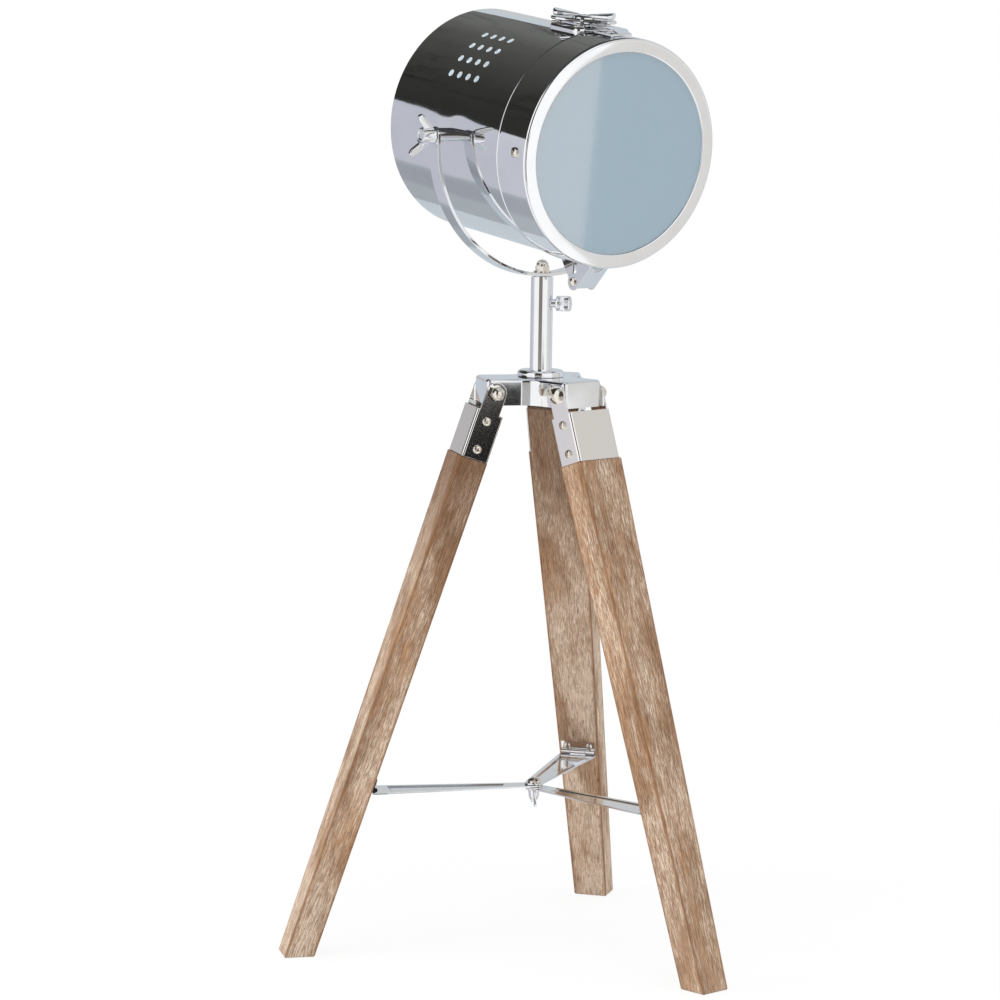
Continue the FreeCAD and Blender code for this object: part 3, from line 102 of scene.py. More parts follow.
def metres(name, description, default, low, high):
    return number(name, description, default, low, high, "LENGTH")


def millimetres(name, description, default, low, high):
    return metres(name, description, default * MM, low * MM, high * MM)


def angle(name, description, degrees):
    return FloatProperty(name=name, description=description, subtype="ANGLE",
                         default=math.radians(degrees))


def swatch(name, description, default):
    return FloatVectorProperty(name=name, description=description, subtype="COLOR", size=3,
                               default=default, min=0.0, max=1.0)


class LampSizes(bpy.types.PropertyGroup):
    edge_ease: millimetres(
        "Edge easing", "Radius that polishing leaves on sheet edges", 0.45, 0.05, 2)
    hub_ease: millimetres(
        "Hub rounding", "Radius along the upper edge of the hub", 2.4, 0.2, 4)
    channel_depth: millimetres(
        "Channel depth", "Depth of the channel pressed into each spreader arm", 0.9, 0, 2)
    knurl_depth: millimetres(
        "Knurl depth", "Depth of the grooves around the thumb screw", 0.35, 0, 1)
    knurl_count: IntProperty(
        name="Knurl ridges", description="Ridges around the thumb screw",
        default=34, min=12, max=80)


class LampColours(bpy.types.PropertyGroup):
    chrome: swatch(
        "Chrome", "Polished plating of the drum, yoke, post and hub", (0.90, 0.91, 0.93))
    nickel: swatch("Nickel", "Warm plating of the screws and nuts", (0.88, 0.84, 0.77))
    satin: swatch("Satin plate", "Satin plating of the leg brackets", (0.90, 0.875, 0.85))
    wood: swatch("Wood", "Ground colour of the washed legs", (0.355, 0.190, 0.093))
    wash: swatch("Lime wash", "Pale wash left in the grain of the legs", (0.81, 0.66, 0.52))
    lens: swatch("Lens", "Body colour of the frosted lens", (0.15, 0.63, 0.93))


class LampStudio(bpy.types.PropertyGroup):
    azimuth: angle("Camera azimuth", "Direction that the camera looks along, from +Y to +X", 34.54)
    elevation: angle("Camera elevation", "Height of the camera's view above level", 7.33)
    roll: angle("Camera roll", "Turn of the camera about its view", 0.855)
    distance: metres("Camera distance", "Level distance from the camera to the post", 2.78, 1, 10)
    height: metres("Camera height", "Height of the camera above the table", 0.6855, 0, 3)
    offset: metres("Camera offset", "Sideways place of the camera from the post", -0.0279, -1, 1)
    lens: number("Focal length", "Focal length on a 36 mm sensor", 139.4, 20, 400)
    key: number("Key light", "Power of the soft light above the lamp, in watts", 16, 0, 500)
    fill: number("Fill", "Strength of the even light from all sides", 0.62, 0, 2)


class LampSettings(bpy.types.PropertyGroup):
    sizes: PointerProperty(type=LampSizes)
    colours: PointerProperty(type=LampColours)
    studio: PointerProperty(type=LampStudio)


# ---- frames


def beam():
    """Frame of the head, from its pivots: x to the side, y up, z along the beam."""
    place = Matrix((SIDE, UP, FORWARD)).transposed().to_4x4()
    place.translation = PIVOT
    return place


def leg_frame(side):
    """Frame of a leg at its pivot: x across, y inwards, z up along the wood."""
    return (Matrix.Translation(POST) @ turn("Z", AZIMUTHS[side])
            @ Matrix.Translation((0, -LEG_PIVOT_RADIUS, LEG_PIVOT_HEIGHT))
            @ turn("X", -LEG_SPLAY))


def turn(axis, degrees):
    return Matrix.Rotation(math.radians(degrees), 4, axis)


def move(x, y, z):
    """A shift in millimetres."""
    return Matrix.Translation((x * MM, y * MM, z * MM))


# ---- material nodes


def rgb(red, green, blue):
    """Linear colour of an 8-bit display colour."""
    return tuple((c / 255 / 12.92) if c <= 10 else ((c / 255 + 0.055) / 1.055) ** 2.4
                 for c in (red, green, blue)) + (1.0,)


def tinted(colour, *factors):
    """A colour times one factor or three, up to white; without a factor, as it is."""
    factors = (factors or (1.0,)) * 3
    return tuple(min(1.0, c * f) for c, f in zip(colour[:3], factors)) + (1.0,)


class Nodes:
    """Shorthand for the nodes of one tree."""

    def __init__(self, tree):
        self.tree = tree
        self.coordinates = self.made("TexCoord").outputs

    def feed(self, socket, source):
        if isinstance(source, bpy.types.NodeSocket):
            self.tree.links.new(source, socket)
        else:
            socket.default_value = source

    def made(self, kind, inputs=None, **settings):
        """A new shader node, with inputs that are linked or set by their name or number."""
        node = self.tree.nodes.new("ShaderNode" + kind)
        for name, setting in settings.items():
            setattr(node, name, setting)
        for name, source in (inputs or {}).items():
            self.feed(node.inputs[name], source)
        return node

    def stretched(self, vector, scale, shift=(0, 0, 0)):
        return self.made("Mapping", {
            "Vector": vector, "Scale": scale, "Location": shift}).outputs["Vector"]

    def noise(self, vector, scale, detail=4.0, roughness=0.55, distortion=0.0):
        return self.made("TexNoise", {
            "Vector": vector, "Scale": scale, "Detail": detail, "Roughness": roughness,
            "Distortion": distortion}).outputs["Fac"]

    def grain(self, vector, scale, shift, detail, roughness, distortion=0.0):
        """Noise that is stretched along the axes of its frame."""
        return self.noise(self.stretched(vector, scale, shift), 1.0, detail, roughness, distortion)

    def span(self, source, low, high, to_low=0.0, to_high=1.0, smooth=False):
        """Maps a stretch of values to another, or to 0 and 1, and clamps what is outside."""
        kind = "SMOOTHSTEP" if smooth else "LINEAR"
        return self.made("MapRange", {
            "Value": source, "From Min": low, "From Max": high, "To Min": to_low,
            "To Max": to_high}, interpolation_type=kind).outputs["Result"]

    def sum(self, operation, first, second=0.0, third=0.0):
        return self.made("Math", {0: first, 1: second, 2: third},
                         operation=operation).outputs["Value"]

    def times(self, first, second):
        return self.sum("MULTIPLY", first, second)

    def mixed(self, factor, first, second):
        return self.made("Mix", {0: factor, 6: first, 7: second},
                         data_type="RGBA", blend_type="MIX").outputs[2]

    def layered(self, factor, first, second):
        """A mix of two shaders."""
        return self.made("MixShader", {0: factor, 1: first, 2: second}).outputs[0]

    def ramp(self, source, low, high, stops):
        """A gradient through a few colours, each at its place between low and high."""
        node = self.made("ValToRGB", {"Fac": self.span(source, low, high)})
        elements = node.color_ramp.elements
        while len(elements) < len(stops):
            elements.new(1.0)
        for element, (position, shade) in zip(elements, stops):
            element.position = (position - low) / (high - low)
            element.color = rgb(*shade)
        return node.outputs["Color"]

    def split(self, vector):
        node = self.made("SeparateXYZ", {"Vector": vector})
        return node.outputs["X"], node.outputs["Y"], node.outputs["Z"]

    def length(self, vector):
        return self.made("VectorMath", {0: vector}, operation="LENGTH").outputs["Value"]

    def share(self, vector, direction):
        """How far a vector points along a direction."""
        return self.made("VectorMath", {0: vector, 1: direction},
                         operation="DOT_PRODUCT").outputs["Value"]


class Finish(Nodes):
    """A material under construction, around one Principled shader."""

    def __init__(self, name):
        self.material = bpy.data.materials.new(name)
        self.material.use_nodes = True
        super().__init__(self.material.node_tree)
        self.shader = self.tree.nodes["Principled BSDF"]

    def placed(self, place=None):
        """Object coordinates, turned into a frame."""
        inverse = place.inverted() if place else Matrix.Identity(4)
        return self.made("Mapping", {
            "Vector": self.coordinates["Object"], "Location": inverse.to_translation(),
            "Rotation": inverse.to_euler("XYZ")}).outputs["Vector"]

    def bump(self, height, distance, strength=1.0):
        node = self.made("Bump", {
            "Height": height, "Distance": distance, "Strength": strength})
        self.feed(self.shader.inputs["Normal"], node.outputs["Normal"])

    def set(self, **values):
        for name, source in values.items():
            self.feed(self.shader.inputs[name.replace("_", " ")], source)
        return self.material

    def surface(self, shader):
        self.feed(self.tree.nodes["Material Output"].inputs["Surface"], shader)
        return self.material


# ---- finishes


def polished(name, colour, rough, waves):
    """Bright plating: smudges in its gloss, and the slight waviness of spun or pressed sheet."""
    kit = Finish(name)
    place = kit.placed()
    smudge = kit.noise(place, 38.0, 6.0, 0.62)
    speck = kit.noise(place, 900.0, 2.0)
    tone = kit.mixed(kit.span(smudge, 0.45, 0.72), tinted(colour), tinted(colour, 0.95))
    gloss = kit.span(smudge, 0.35, 0.75, rough, rough * 2.2)
    gloss = kit.sum("MULTIPLY_ADD", speck, rough * 0.4, gloss)
    kit.bump(kit.noise(place, 13.0, 2.0, 0.4), 0.0012 * waves, 0.55)
    return kit.set(Base_Color=tone, Metallic=1.0, Roughness=gloss)


def warm_nickel(name, colour):
    """Barrel-plated nickel of small turned pieces: warm, with a fine grain."""
    kit = Finish(name)
    place = kit.placed()
    grain = kit.noise(place, 1400.0, 3.0, 0.6)
    patch = kit.noise(place, 210.0, 4.0, 0.6)
    tone = kit.mixed(kit.span(patch, 0.4, 0.68), tinted(colour), tinted(colour, 0.90, 0.87, 0.83))
    kit.bump(grain, 0.00003, 0.3)
    return kit.set(Base_Color=tone, Metallic=1.0, Roughness=kit.span(patch, 0.3, 0.7, 0.05, 0.13))


def satin_plate(name, colour, side):
    """Bracket plate: bright on its sides and satin, with a fine speckle, on its outer face."""
    kit = Finish(name)
    frame = leg_frame(side)
    place = kit.placed(frame)
    outwards = frame.to_3x3() @ Vector((0, -1, 0))
    outer = kit.span(kit.share(kit.coordinates["Normal"], outwards), 0.80, 0.95)
    lines = kit.grain(place, (2600, 2600, 120), (0, 0, 0), 3.0, 0.6)
    speck = kit.noise(place, 1600.0, 2.0, 0.7)
    tone = kit.mixed(kit.span(speck, 0.35, 0.65), tinted(colour, 0.95), tinted(colour))
    tone = kit.mixed(outer, tinted(colour, 1.1), tone)
    gloss = kit.sum("MULTIPLY_ADD", outer, 0.15, 0.03)
    gloss = kit.sum("MULTIPLY_ADD", lines, 0.03, gloss)
    kit.bump(lines, 0.00001, 0.3)
    return kit.set(Base_Color=tone, Metallic=1.0, Roughness=gloss)


def lined_plating(name, colour, inner_radius, behind=None, dented=False):
    """Bright plating outside and white enamel inside, told apart by the distance from the beam;
    the enamel also glows faintly, a painted glow that brightens the inside of the drum.
    """
    kit = Finish(name)
    framed = kit.placed(beam())
    inside = kit.sum("LESS_THAN", kit.length(kit.stretched(framed, (1, 1, 0))), inner_radius)
    if behind is not None:
        facing = kit.share(kit.coordinates["Normal"], behind)
        inside = kit.times(inside, kit.sum("GREATER_THAN", facing, 0.2))
    smudge = kit.noise(framed, 38.0, 6.0, 0.62)
    wave = kit.times(kit.grain(framed, (9, 9, 22), (0, 0, 0), 2.0, 0.4), 0.00012)
    if dented:
        # the sheet is drawn in a little around each pivot
        reach_up, reach_along, depth = 20 * MM, 16 * MM, 0.3 * MM
        _, high, ahead = kit.split(framed)
        tall = kit.sum("POWER", kit.sum("DIVIDE", high, reach_up), 2.0)
        long = kit.sum("POWER", kit.sum("DIVIDE", ahead, reach_along), 2.0)
        dent = kit.sum("EXPONENT", kit.times(kit.sum("ADD", tall, long), -1.0))
        wave = kit.sum("MULTIPLY_ADD", dent, -depth, wave)
    plating = kit.mixed(kit.span(smudge, 0.45, 0.72), tinted(colour), tinted(colour, 0.95))
    enamel = kit.mixed(kit.span(smudge, 0.3, 0.7), rgb(234, 235, 233), rgb(224, 225, 223))
    gloss = kit.span(smudge, 0.35, 0.75, 0.03, 0.07)
    gloss = kit.sum("MAXIMUM", gloss, kit.times(inside, 0.38))
    kit.bump(wave, 1.0)
    # the enamel glows faintly: painted light, which brightens the inside of the drum, its vents
    # and the lens from behind
    return kit.set(Base_Color=kit.mixed(inside, plating, enamel),
                   Metallic=kit.sum("SUBTRACT", 1.0, inside), Roughness=gloss,
                   Emission_Color=rgb(226, 236, 246), Emission_Strength=kit.times(inside, 0.31))


def washed_wood(name, wood, wash, side):
    """Brown wood with a lime wash in its grain, darker along its edges, and with painted shade
    that darkens the top of each leg.
    """
    kit = Finish(name)
    place = kit.placed(leg_frame(side))
    # per leg: a shift of its noise, how deep the painted shade at the top of the leg is, and how
    # much wash lies in its grain
    shift, painted_top_shade, ground = {"right": (0.0, 0.05, 0.17), "back": (7.3, 0.72, 0.50),
                            "left": (3.1, 0.80, 0.30)}[side]
    across, deep, along = kit.split(place)
    broad = kit.grain(place, (34, 34, 10), (shift, shift, shift), 5.0, 0.6)
    tint = kit.grain(place, (75, 75, 8), (1, shift, 0), 4.0, 0.6, 0.4)
    fine = kit.grain(place, (1500, 1500, 55), (shift, 0, shift), 4.0, 0.7)
    lime = kit.grain(place, (1600, 1600, 110), (0, shift, 0), 4.0, 0.7)
    pores = kit.grain(place, (1300, 1300, 240), (shift, 2, 0), 3.0, 0.6)
    patch = kit.grain(place, (48, 48, 15), (2, shift, 5), 4.0, 0.6)
    dark = tinted(wood, 0.40, 0.33, 0.27)
    tone = kit.mixed(kit.span(broad, 0.36, 0.62), tinted(wood), tinted(wood, 1.5))
    tone = kit.mixed(kit.span(tint, 0.38, 0.60, 0.35, 0.0), tone, dark)
    tone = kit.mixed(kit.span(fine, 0.42, 0.53, 0.85, 0.0), tone, dark)
    # painted shade: the wood darkens towards the top of the leg, under the hub and the drum
    tone = kit.mixed(kit.span(along, -0.21, -0.05, 0.0, painted_top_shade, smooth=True), tone, dark)

    # how far a point is from the nearest long edge of the leg
    taper = (LEG_TOP_WIDTH - LEG_FOOT_WIDTH) / LEG_LENGTH
    half = kit.sum("MULTIPLY_ADD", along, taper / 2, LEG_TOP_WIDTH / 2)
    margin = kit.sum("MAXIMUM", kit.sum("SUBTRACT", half, kit.sum("ABSOLUTE", across)),
                     kit.sum("SUBTRACT", LEG_DEPTH / 2, kit.sum("ABSOLUTE", deep)))

    washed = kit.sum("ADD", kit.span(lime, 0.49, 0.57, 0.0, 0.85), ground)
    washed = kit.times(washed, kit.span(patch, 0.40, 0.58, 0.25, 1.1))
    # the painted shade at the top of the leg also thins the wash there
    washed = kit.times(washed, kit.span(along, -0.22, -0.05, 1.0, 1.0 - painted_top_shade))
    foot = kit.span(along, -0.36, -0.43, 0.0, 0.1)
    washed = kit.sum("MINIMUM", kit.sum("ADD", washed, foot), 1.0)
    kept = kit.span(margin, 0.6 * MM, 2.5 * MM, 0.4, 1.0)
    tone = kit.mixed(kit.times(washed, kept), tone, tinted(wash))
    tone = kit.mixed(kit.span(pores, 0.56, 0.68, 0.0, 0.6), tone, dark)
    tone = kit.mixed(kit.span(margin, 0.2 * MM, 1.6 * MM, 0.65, 0.0), tone,
                     tinted(wood, 0.72, 0.58, 0.46))
    kit.bump(kit.sum("SUBTRACT", fine, kit.times(pores, 0.5)), 0.0005, 0.6)
    return kit.set(Base_Color=tone, Roughness=kit.span(lime, 0.3, 0.7, 0.62, 0.82),
                   Specular_IOR_Level=0.3)


def frosted_glass(name, colour):
    """Lens: etched on its rear face, so milky, with a smooth front that mirrors softly."""
    kit = Finish(name)
    place = kit.placed(beam())
    cloud = kit.noise(place, 16.0, 3.0, 0.5)
    grain = kit.noise(place, 2200.0, 2.0, 0.6)
    tone = kit.mixed(cloud, tinted(colour), tinted(colour, 1.05))
    tone = kit.mixed(kit.span(grain, 0.3, 0.7, 0.0, 0.06), tone, rgb(214, 226, 232))
    kit.set(Base_Color=tone, Roughness=0.02, IOR=3.0, Specular_IOR_Level=1.0,
            Specular_Tint=(1.0, 0.72, 0.56, 1.0))
    let_through = 0.22
    through = kit.made("BsdfTranslucent", {"Color": rgb(215, 228, 235)})
    return kit.surface(kit.layered(let_through, kit.shader.outputs[0], through.outputs[0]))


def bulb_finish(name):
    """Bulb: opal glass in front of a ribbed brass cap."""
    kit = Finish(name)
    _, _, ahead = kit.split(kit.placed(beam()))
    cap = kit.sum("LESS_THAN", ahead, -26.0 * MM)
    ribs = kit.sum("SINE", kit.times(ahead, 2100.0))
    cloud = kit.noise(kit.placed(), 60.0, 3.0)
    brass = kit.mixed(cloud, rgb(214, 190, 128), rgb(190, 162, 104))
    opal = kit.mixed(cloud, rgb(246, 245, 240), rgb(238, 237, 232))
    kit.bump(kit.times(ribs, cap), 0.0004, 0.8)
    return kit.set(Base_Color=kit.mixed(cap, opal, brass), Metallic=cap,
                   Roughness=kit.sum("MULTIPLY_ADD", cap, 0.12, 0.16))


def moulded(name, light, dark, rough):
    """Moulded plastic or rubber with a fine skin."""
    kit = Finish(name)
    place = kit.placed()
    skin = kit.noise(place, 900.0, 3.0, 0.6)
    patch = kit.noise(place, 60.0, 3.0)
    kit.bump(skin, 0.00006, 0.5)
    return kit.set(Base_Color=kit.mixed(patch, rgb(*light), rgb(*dark)),
                   Roughness=kit.span(skin, 0.3, 0.7, rough * 0.85, rough * 1.15))


MATERIALS = {}


def make_finishes(colours):
    chrome = tuple(colours.chrome)
    MATERIALS.update({
        "shell": lined_plating("drum_plating", chrome, 79.5 * MM, dented=True),
        "cover": lined_plating("cover_plating", chrome, 78.5 * MM, FORWARD),
        "ring": polished("door_chrome", tinted(chrome, 1.07), 0.02, 0.08),
        "yoke_metal": polished("yoke_chrome", chrome, 0.035, 0.4),
        "tripod_metal": polished("hub_chrome", chrome, 0.035, 0.8),
        "post_metal": polished("tube_chrome", chrome, 0.03, 0.15),
        "latch_metal": polished("latch_chrome", chrome, 0.05, 0.5),
        "rod_metal": polished("turned_steel", tinted(chrome, 0.86), 0.11, 0.2),
        "spreader_metal": polished("spreader_chrome", chrome, 0.06, 0.6),
        "fastener": warm_nickel("fastener_nickel", tuple(colours.nickel)),
        "lens_glass": frosted_glass("frosted_lens", tuple(colours.lens)),
        "bulb_glass": bulb_finish("opal_bulb"),
        "holder_plastic": moulded("holder_black", (30, 30, 32), (20, 20, 22), 0.34),
        "seal_rubber": moulded("seal_black", (38, 38, 40), (26, 26, 28), 0.62),
    })
    for side in AZIMUTHS:
        MATERIALS[f"wood_{side}"] = washed_wood(
            f"washed_wood_{side}", tuple(colours.wood), tuple(colours.wash), side)
        MATERIALS[f"plate_{side}"] = satin_plate(
            f"bracket_plate_{side}", tuple(colours.satin), side)


# nodes whose finish isn't the one that their record slot is named after
SPECIAL = {
    "back_cover": "cover", "spreader_hinges": "spreader_metal", "pivot_bushes": "latch_metal",
    "pivot_studs": "latch_metal",
    **{f"leg_{side}": f"wood_{side}" for side in AZIMUTHS},
    **{f"leg_bracket_{side}": f"plate_{side}" for side in AZIMUTHS},
    **{f"spreader_arm_{side}": "spreader_metal" for side in AZIMUTHS},
}


# ---- mesh helpers


def linked(mesh, name):
    """An object in the scene from a bmesh, which is used up."""
    data = bpy.data.meshes.new(name)
    mesh.to_mesh(data)
    mesh.free()
    item = bpy.data.objects.new(name, data)
    bpy.context.scene.collection.objects.link(item)
    return item


def finished(mesh, name, node, material, place=None, smooth_angle=40.0, weighted=True):
    """Turns a bmesh into a piece that stands for a node of the frame."""
    if place is not None:
        bmesh.ops.transform(mesh, matrix=place, verts=mesh.verts)
    piece = linked(mesh, name)
    piece.data.materials.append(MATERIALS[material])
    piece.data.shade_smooth()
    piece.data.set_sharp_from_angle(angle=math.radians(smooth_angle))
    if weighted:
        modifier = piece.modifiers.new("flat faces", "WEIGHTED_NORMAL")
        modifier.keep_sharp = True
        modifier.weight = 60
    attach(piece, FRAME["nodes"][node]["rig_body"])
    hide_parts(node)


def closed(mesh, distance=1e-6):
    bmesh.ops.remove_doubles(mesh, verts=mesh.verts, dist=distance)
    bmesh.ops.recalc_face_normals(mesh, faces=mesh.faces)
    return mesh


def bevel(mesh, edges, width, segments=2, affect="EDGES"):
    bmesh.ops.bevel(mesh, geom=list(edges), offset=width, offset_type="OFFSET", segments=segments,
                    profile=0.5, affect=affect, clamp_overlap=False, material=-1)


def cut(mesh, point, normal):
    """Divides the faces along a plane, whose point is in millimetres."""
    bmesh.ops.bisect_plane(mesh, geom=mesh.verts[:] + mesh.edges[:] + mesh.faces[:],
                           plane_co=Vector(point) * MM, plane_no=normal)


def creased(mesh, radians):
    return [edge for edge in mesh.edges if edge.calc_face_angle(0.0) > radians]


def running(mesh, axis):
    """The edges that run more than a millimetre along an axis, given by its number."""
    return [edge for edge in mesh.edges
            if abs(edge.verts[0].co[axis] - edge.verts[1].co[axis]) > MM]


def block(mesh, size, centre):
    """Adds a box to the mesh, with its size and centre in millimetres."""
    verts = bmesh.ops.create_cube(mesh, size=1.0)["verts"]
    bmesh.ops.scale(mesh, vec=Vector(size) * MM, verts=verts)
    bmesh.ops.translate(mesh, vec=Vector(centre) * MM, verts=verts)


def lift(mesh, faces, height):
    verts = {vert for face in faces for vert in face.verts}
    bmesh.ops.translate(mesh, vec=(0, 0, height), verts=list(verts))


def raise_plate(mesh, plate, height):
    """Gives a flat face its thickness, along z."""
    grown = bmesh.ops.extrude_face_region(mesh, geom=[plate])["geom"]
    bmesh.ops.translate(mesh, vec=(0, 0, height),
                        verts=[v for v in grown if isinstance(v, bmesh.types.BMVert)])


def eased(node, width, segments=2, where=None):
    """A merged copy of a node's own mesh, with its sharp edges eased."""
    sharp_from = math.radians(34.0)
    mesh = bmesh.new()
    mesh.from_mesh(FRAME["nodes"][node].data)
    bmesh.ops.remove_doubles(mesh, verts=mesh.verts, dist=2e-6)
    bmesh.ops.dissolve_limit(mesh, angle_limit=math.radians(0.5), use_dissolve_boundaries=False,
                             verts=mesh.verts, edges=mesh.edges)
    sharp = [edge for edge in mesh.edges
             if edge.is_manifold and edge.calc_face_angle(0.0) > sharp_from
             and (where is None or where(edge))]
    bevel(mesh, sharp, width, segments)
    return mesh


def turned(profile, steps):
    """A solid of revolution about Z from (radius, height) pairs in millimetres."""
    mesh = bmesh.new()
    points = [mesh.verts.new((radius * MM, 0.0, height * MM)) for radius, height in profile]
    edges = [mesh.edges.new(pair) for pair in zip(points, points[1:])]
    bmesh.ops.spin(mesh, geom=points + edges, cent=(0, 0, 0), axis=(0, 0, 1),
                   angle=math.tau, steps=steps, use_merge=True, use_duplicate=False)
    return closed(mesh, 1e-7)


def joined(meshes):
    """One bmesh of several, which are used up."""
    whole = bmesh.new()
    for mesh in meshes:
        data = bpy.data.meshes.new("part")
        mesh.to_mesh(data)
        mesh.free()
        whole.from_mesh(data)
        bpy.data.meshes.remove(data)
    return whole


def copies(mesh, places):
    """One bmesh with a copy of the given one, which is used up, at each place."""
    parts = [mesh.copy() for _ in places]
    mesh.free()
    for part, place in zip(parts, places):
        bmesh.ops.transform(part, matrix=place, verts=part.verts)
    return joined(parts)


def with_recess(mesh, reach, depth, top):
    """The mesh with a cross recess cut into its top."""
    narrowed, arm_width = 0.72, 0.42 * reach
    cutter = bmesh.new()
    for spin in (0, 90):
        arm = bmesh.ops.create_cube(cutter, size=1.0)["verts"]
        for vert in arm:
            if vert.co.z < 0:
                vert.co.x *= narrowed
        bmesh.ops.scale(cutter, vec=(reach * 2 * MM, arm_width * MM, depth * 2 * MM), verts=arm)
        bmesh.ops.rotate(cutter, matrix=turn("Z", spin), verts=arm)
    bmesh.ops.translate(cutter, vec=(0, 0, top * MM), verts=cutter.verts)
    objects = [linked(mesh, "tool"), linked(cutter, "tool")]
    recess = objects[0].modifiers.new("recess", "BOOLEAN")
    recess.object, recess.solver, recess.use_self = objects[1], "EXACT", True
    result = bmesh.new()
    result.from_object(objects[0], bpy.context.evaluated_depsgraph_get())
    for tool in objects:
        data = tool.data
        bpy.data.objects.remove(tool)
        bpy.data.meshes.remove(data)
    return result


def screw_head(radius, height):
    """A pan head with a cross recess, standing on z = 0, with a stub of its shank."""
    shank = 1.2
    rim = 0.42 * height
    dome = [(radius * math.cos(t) ** 0.9, rim + (height - rim) * math.sin(t))
            for t in (0.35, 0.75, 1.1, 1.35)]
    head = turned([(0, -shank), (radius * 0.5, -shank), (radius * 0.5, 0), (radius * 0.96, 0),
                   (radius, 0.12 * height), (radius, rim)] + dome + [(0, height)], 32)
    return with_recess(head, radius * 0.62, height * 0.62, height)


# ---- operators


class LAMP_OT_finishes(bpy.types.Operator):
    """Makes every finish and gives each node of the frame its own"""
    bl_idname = "lamp.finishes"
    bl_label = "Finishes"

    def execute(self, context):
        make_finishes(context.scene.lamp.colours)
        for name, piece in FRAME["nodes"].items():
            piece.data.materials[0] = MATERIALS[SPECIAL.get(name, SLOTS[name])]
        return {"FINISHED"}


class LAMP_OT_hub(bpy.types.Operator):
    """Three-armed hub with rounded upper edges, hollow underneath, and the post's flange"""
    bl_idname = "lamp.hub"
    bl_label = "Hub"

    def execute(self, context):
        low, high = (corner.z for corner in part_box("hub_casting"))
        casting = self.casting(high - low, context.scene.lamp.sizes.hub_ease)
        finished(casting, "hub_body", "hub_casting", "tripod_metal",
                 Matrix.Translation(POST + Vector((0, 0, low))))
        low, high = (corner.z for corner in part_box("hub_collar"))
        tall = (high - low) / MM
        bore, wide, crown = 8.1, 16.8, 2.6
        rim = [(wide - crown * (1 - math.cos(t)), tall - crown + crown * math.sin(t))
               for t in (0.0, 0.3, 0.6, 0.9, 1.2, 1.5)]
        collar = turned([(bore, 0), (16.2, 0), (16.65, 0.3), (wide, 0.8)] + rim
                        + [(9.8, tall), (bore, tall), (bore, 0)], 96)
        finished(collar, "hub_flange", "hub_collar", "tripod_metal",
                 Matrix.Translation(POST + Vector((0, 0, low))))
        return {"FINISHED"}

    @staticmethod
    def casting(tall, ease):
        half, reach, wall = 18.65 * MM, 44.2 * MM, 4 * MM
        nook_round, arm_round = 9.86 * MM, 3.6 * MM
        mesh = bmesh.new()
        corners = []
        for azimuth in AZIMUTHS.values():
            across = turn("Z", azimuth)
            corners.append(mesh.verts.new(across @ Vector((-half, -reach, 0))))
            corners.append(mesh.verts.new(across @ Vector((half, -reach, 0))))
            nook = Vector((0, -half / math.sin(math.radians(60)), 0))
            corners.append(mesh.verts.new(turn("Z", azimuth + 60) @ nook))
        raise_plate(mesh, mesh.faces.new(corners), tall)
        bevel(mesh, [e for e in running(mesh, 2) if e.verts[0].co.to_2d().length < 0.7 * reach],
              nook_round, 10)
        bevel(mesh, [e for e in running(mesh, 2) if e.verts[0].co.to_2d().length > 0.9 * reach],
              arm_round, 6)
        bmesh.ops.recalc_face_normals(mesh, faces=mesh.faces)
        bevel(mesh, [e for e in creased(mesh, 1.0) if min(v.co.z for v in e.verts) > tall - 1e-6],
              ease, 6)
        under = [f for f in mesh.faces if f.normal.z < -0.9 and f.calc_center_median().z < 1e-6]
        bmesh.ops.inset_region(mesh, faces=under, thickness=wall, use_even_offset=True)
        lift(mesh, under, tall - wall)
        return closed(mesh)


class LAMP_OT_brackets(bpy.types.Operator):
    """Leg brackets with eased edges"""
    bl_idname = "lamp.brackets"
    bl_label = "Leg brackets"

    def execute(self, context):
        ease, bend_radius = context.scene.lamp.sizes.edge_ease, 2.2 * MM
        for side in AZIMUTHS:
            node = f"leg_bracket_{side}"
            mesh = eased(node, ease, where=lambda edge: not self.bend(edge, side))
            bevel(mesh, [edge for edge in mesh.edges if self.bend(edge, side)], bend_radius, 7)
            finished(mesh, f"bracket_{side}", node, f"plate_{side}")
        return {"FINISHED"}

    @staticmethod
    def bend(edge, side):
        """Whether an edge is one of the two long outer corners of the bent plate."""
        shortest, half_width, outer_face = 20 * MM, 19 * MM, -9 * MM
        inverse = leg_frame(side).inverted()
        ends = [inverse @ vert.co for vert in edge.verts]
        return (abs(ends[0].z - ends[1].z) > shortest and edge.calc_face_angle(0.0) > 1.2
                and all(abs(end.x) > half_width and end.y < outer_face for end in ends))


